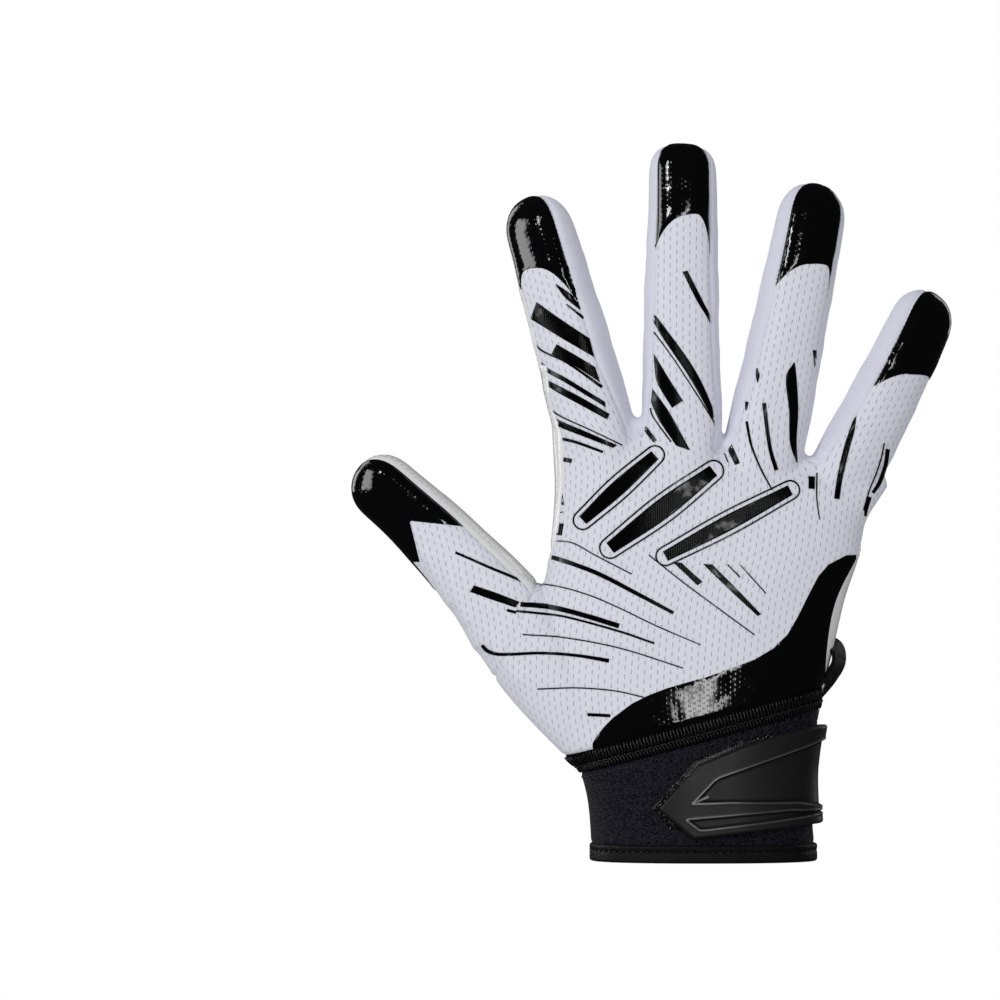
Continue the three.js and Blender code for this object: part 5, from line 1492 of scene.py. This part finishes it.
def patch_piece(name, patch, field, top, bottom, sharp=35, painted_light_at=None):
    # a plate on the wrist: top and bottom give how far its faces stand off the glove's surface
    patch.cut(field(patch.values), "in")
    used, tris = np.unique(patch.tris[patch.label == "in"], return_inverse=True)
    tris = tris.reshape(-1, 3)
    v = patch.values[used]
    edge = field(v)
    outer = wrist_point(v[:, 1], v[:, 2], top(v, edge))
    inner = wrist_point(v[:, 1], v[:, 2], bottom(v, edge))
    flip = np.dot(np.cross(outer[tris[0, 1]] - outer[tris[0, 0]], outer[tris[0, 2]] - outer[tris[0, 0]]),
                  outer[tris[0, 0]] - inner[tris[0, 0]]) < 0
    points, faces = walled(outer, inner, tris[:, ::-1] if flip else tris)
    uv = v[:, :2] - (v[:, :2].min(axis=0) + v[:, :2].max(axis=0)) / 2
    obj = solid_mesh(name, points, faces, np.concatenate([uv, uv]), sharp)
    # the "worn" attribute holds painted light: painted highlight where positive, painted shade where negative
    if painted_light_at:
        values = np.concatenate([painted_light_at(v), np.zeros(len(v))]).astype(np.float32)
        obj.data.attributes.new("worn", "FLOAT", "POINT").data.foreach_set("value", values)
    return obj


STRAP_LENGTH, STRAP_WIDTH, STRAP_AT = 53.0, 31.5, (-15.8, 7.9)
STRAP_TOP, STRAP_THICK = 3.5, 2.2
STRAP_EDGE = np.array([(0.000, 0.300), (0.215, 0.000), (0.640, 0.080), (0.960, 0.135), (1.600, 0.160),
                       (1.600, 1.200), (1.000, 1.130), (0.780, 1.060), (0.530, 0.940), (0.252, 0.755)])
STRAP_EDGE = STRAP_EDGE * (STRAP_LENGTH, STRAP_WIDTH) + STRAP_AT
STRAP_POCKET = np.array([(-4.5, 19.2), (2.3, 26.3), (3.9, 27.4), (32.9, 37.2), (60.0, 46.0), (60.0, 12.0),
                         (37.5, 17.8), (29.3, 19.4), (7.7, 19.6)])
STRAP_CHANNEL = np.array([(-6.3, 14.0), (-2.3, 11.0), (-0.3, 11.0), (37.5, 15.6), (60.0, 17.0), (60.0, 18.0),
                          (37.5, 16.4), (26.5, 16.7), (1.3, 14.7)])
SPUR = (-4.3, 19.4), (0.3, 21.3)


def seen(v, out):
    return wrist_point(v[:, 1], v[:, 2], out)[:, 0]


def strap_field(v):
    return within(seen(v, STRAP_TOP), v[:, 1], inset(STRAP_EDGE, 1.2)) + 1.2


def from_spur(x, z):
    (ax, az), (bx, bz) = SPUR
    t = np.clip(((x - ax) * (bx - ax) + (z - az) * (bz - az)) / ((bx - ax) ** 2 + (bz - az) ** 2), 0, 1)
    return np.hypot(x - ax - t * (bx - ax), z - az - t * (bz - az))


def strap_painted_light(v):
    # painted highlight along the thin edges round the pocket, the channel and the spur, up to 1, and painted
    # shade at the foot of each wall inside them, down to -1
    x = seen(v, STRAP_TOP)
    pocket, groove = within(x, v[:, 1], STRAP_POCKET), within(x, v[:, 1], STRAP_CHANNEL)
    # the painted highlight is stronger on the left, the side turned toward the light
    left = step(x, 18, 2)
    painted_edge_highlight = np.exp(-((pocket + 0.1) / 0.26) ** 2) * (0.25 + 0.75 * left)
    painted_edge_highlight = np.maximum(painted_edge_highlight, 0.8 * np.exp(-((groove + 0.2) / 0.24) ** 2) * (0.3 + 0.7 * left))
    painted_edge_highlight = np.maximum(painted_edge_highlight, np.exp(-(from_spur(x, v[:, 1]) / 0.4) ** 2))
    painted_wall_shade = np.maximum(np.exp(-((pocket - 0.6) / 0.32) ** 2), 0.8 * np.exp(-((groove - 0.5) / 0.3) ** 2))
    return painted_edge_highlight - painted_wall_shade * (1 - painted_edge_highlight)


def strap_top(v, edge):
    x = seen(v, STRAP_TOP)
    pocket, groove = within(x, v[:, 1], STRAP_POCKET), within(x, v[:, 1], STRAP_CHANNEL)
    sunk, channel = step(pocket, 0.0, 0.6), step(groove, -0.1, 0.45)
    lip = 0.2 * np.exp(-((pocket + 0.15) / 0.3) ** 2) + 0.15 * np.exp(-((groove + 0.3) / 0.3) ** 2)
    spur = 0.7 * np.exp(-(from_spur(x, v[:, 1]) / 0.5) ** 2)
    rounded = 0.8 * np.clip(1 - edge / 0.8, 0, 1) ** 2
    return STRAP_TOP - rounded - 1.0 * sunk - 0.8 * channel + lip + spur


def strap_bottom(v, edge):
    x = seen(v, STRAP_TOP)
    return STRAP_TOP - STRAP_THICK - 1.0 * step(x, 31.5, 34)


def moulded_rubber():
    made, tree, shader = paint("moulded_rubber", (0.011, 0.011, 0.0115), 0.45, Specular_IOR_Level=0.5)
    where = node(tree, "ShaderNodeTexCoord").outputs["Object"]
    skin = node(tree, "ShaderNodeTexNoise", {"Vector": where, "Scale": 2200.0, "Detail": 2.0}).outputs["Fac"]
    broad = node(tree, "ShaderNodeTexNoise", {"Vector": where, "Scale": 90.0, "Detail": 3.0}).outputs["Fac"]
    rough = node(tree, "ShaderNodeMapRange", {0: broad, 1: 0.3, 2: 0.7, 3: 0.36, 4: 0.5}).outputs[0]
    # the "worn" attribute is painted light: toward light grey for the painted highlight on the edges, toward
    # near black for the painted shade at the foot of each wall
    worn = node(tree, "ShaderNodeAttribute", attribute_name="worn").outputs["Fac"]
    tone = node(tree, "ShaderNodeMix", {0: worn, 6: (0.011, 0.011, 0.0115, 1), 7: (0.30, 0.30, 0.30, 1)},
                data_type="RGBA")
    painted_shade = sums(tree, "MULTIPLY", worn, -1.0)
    shaded = node(tree, "ShaderNodeMix", {0: painted_shade, 6: tone.outputs[2], 7: (0.0006, 0.0006, 0.0006, 1)},
                  data_type="RGBA")
    tree.links.new(shaded.outputs[2], shader.inputs["Base Color"])
    matt = node(tree, "ShaderNodeMapRange", {0: painted_shade, 1: 0.0, 2: 1.0, 3: 0.0, 4: 0.45}).outputs[0]
    tree.links.new(sums(tree, "ADD", rough, matt), shader.inputs["Roughness"])
    relief(tree, shader, sums(tree, "MULTIPLY_ADD", broad, 2.0, skin), 0.03)
    return made


strap = patch_piece("rubber_tab", patch_grid(5.5, 50, -1, 125, 0.33), strap_field, strap_top, strap_bottom,
                    painted_light_at=strap_painted_light)
finish(strap, moulded_rubber(), "moulded_rubber", "closure_strap")


def hook_fastener():
    made, tree, shader = paint("hook_fastener", (0.004, 0.004, 0.005), 0.3)
    hooks = use(tree, MARKS, Across=0.8, Along=1.0, Width=0.2, Length=0.25)["Mask"]
    where = node(tree, "ShaderNodeTexCoord").outputs["Object"]
    patchy = node(tree, "ShaderNodeTexNoise", {"Vector": where, "Scale": 1100.0, "Detail": 1.0}).outputs["Fac"]
    glints = sums(tree, "MULTIPLY", hooks, ranged(tree, patchy, 0.5, 0.68))
    tone = node(tree, "ShaderNodeMix", {0: glints, 6: (0.0008, 0.0008, 0.001, 1), 7: (0.30, 0.30, 0.33, 1)},
                data_type="RGBA")
    tree.links.new(tone.outputs[2], shader.inputs["Base Color"])
    relief(tree, shader, hooks, 0.3)
    return made


LANDING_EDGE = np.array([(-17.8, 17.4), (-12.0, 11.0), (30.0, 14.0), (30.0, 39.0), (22.0, 41.6), (11.9, 39.2),
                         (-3.6, 33.1)])
landing = patch_piece("hook_patch", patch_grid(5.5, 46, 10, 140, 0.45),
                      lambda v: within(seen(v, 1.0), v[:, 1], inset(LANDING_EDGE, 1.0)) + 1.0,
                      lambda v, edge: 1.0 - 0.4 * np.clip(1 - edge / 0.6, 0, 1) ** 2,
                      lambda v, edge: 0.3 + 0 * edge)
finish(landing, hook_fastener(), "hook_fastener", "strap_landing")

# Pull loop. A short piece of woven webbing, both ends sewn into the seam on the little finger side.
# It lies over toward the palm, so that its flat side shows from the back.
LOOP_LINE = [(35.6, 68.8), (39.9, 69.6), (42.6, 67.9), (43.0, 63.6), (40.6, 59.2),
             (37.6, 55.4), (34.4, 52.0)]
LOOP_WIDTH, LOOP_THICK, LOOP_LEAN = 12.0, 1.3, 21


def pull_loop():
    x, z = smooth_line(LOOP_LINE, 48).T
    way = np.stack([np.gradient(x), 0 * x, np.gradient(z)], 1)
    way /= np.linalg.norm(way, axis=1)[:, None]
    out = np.stack([-way[:, 2], 0 * x, way[:, 0]], 1)
    lean = math.radians(LOOP_LEAN)
    side = out * math.sin(lean) + np.array([0, 1.0, 0]) * math.cos(lean)
    face = out * math.cos(lean) - np.array([0, 1.0, 0]) * math.sin(lean)
    half, r = LOOP_WIDTH / 2, LOOP_THICK / 2
    section = [(centre + r * math.cos(math.radians(a)), r * math.sin(math.radians(a)))
               for centre, start in ((half - r, -90), (r - half, 90))
               for a in np.linspace(start, start + 180, 9)]
    section = np.array(section)
    n, count = len(section), len(x)
    line = np.stack([x, 0 * x, z], 1)
    offset = section[None, :, :1] * side[:, None] + section[None, :, 1:] * face[:, None]
    points = (line[:, None] + offset).reshape(-1, 3)
    quads = ring_grid(count, n)[:-n]
    k = np.arange(n - 2)
    end = n * (count - 1)
    lids = [np.stack([0 * k, k + 2, k + 1], 1), np.stack([0 * k + end, k + 1 + end, k + 2 + end], 1)]
    faces = np.concatenate([quads[:, [0, 1, 2]], quads[:, [0, 2, 3]], *lids])
    if signed_volume(points, faces) < 0:
        faces = faces[:, ::-1]
    uv = np.stack([np.repeat(np.arange(count) * 0.75, n), np.tile(section[:, 0], count)], 1)
    return solid_mesh("loop_webbing", points, faces, uv)


finish(pull_loop(), tape, "binding_tape", "pull_loop")

# Label. A woven polyester tag, folded once and caught in the hem's stitching.
LABEL_FRAMES = (9.0, 4.9), (-4.1, 6.6)      # height of each frame's middle, and its half height
LABEL_FRAME_WIDTH = 9.0
LABEL_EDGE = np.array([(-33.0, -1.0), (-21.0, -1.0), (-21.0, 32.0), (-33.0, 32.0)])
label = patch_piece("woven_tag", patch_grid(-1.6, 33, -170, -95, 0.5),
                    lambda v: within(seen(v, 2.0), v[:, 1], inset(LABEL_EDGE, 0.5)) + 0.5,
                    lambda v, edge: 2.0 - 0.3 * np.clip(1 - edge / 0.4, 0, 1) ** 2,
                    lambda v, edge: 1.0 + 0 * edge)


def woven_label():
    made, tree, shader = paint("woven_label", (0.8, 0.8, 0.8), 0.55, Sheen_Weight=0.2)
    weave = use(tree, KNIT, Across=0.5, Along=0.35, Grain=1.0)["Height"]
    axes = grain_axes(tree)
    frames = None
    for height, half in LABEL_FRAMES:
        beside = sums(tree, "SUBTRACT", sums(tree, "ABSOLUTE", axes[0]), LABEL_FRAME_WIDTH / 2)
        above = sums(tree, "SUBTRACT", sums(tree, "ABSOLUTE", sums(tree, "SUBTRACT", axes[1], height)), half)
        off = sums(tree, "ABSOLUTE", sums(tree, "SMOOTH_MAX", beside, above, 1.0))
        line = node(tree, "ShaderNodeMapRange", {0: off, 1: 0.2, 2: 0.4, 3: 1.0, 4: 0.0}).outputs[0]
        frames = line if frames is None else sums(tree, "MAXIMUM", frames, line)
    ground = blend(tree, weave, (0.72, 0.72, 0.72), (0.86, 0.86, 0.85))
    tree.links.new(blend(tree, frames, ground, (0.03, 0.03, 0.035)), shader.inputs["Base Color"])
    relief(tree, shader, weave, 0.04)
    return made


finish(label, woven_label(), "woven_label", "label")
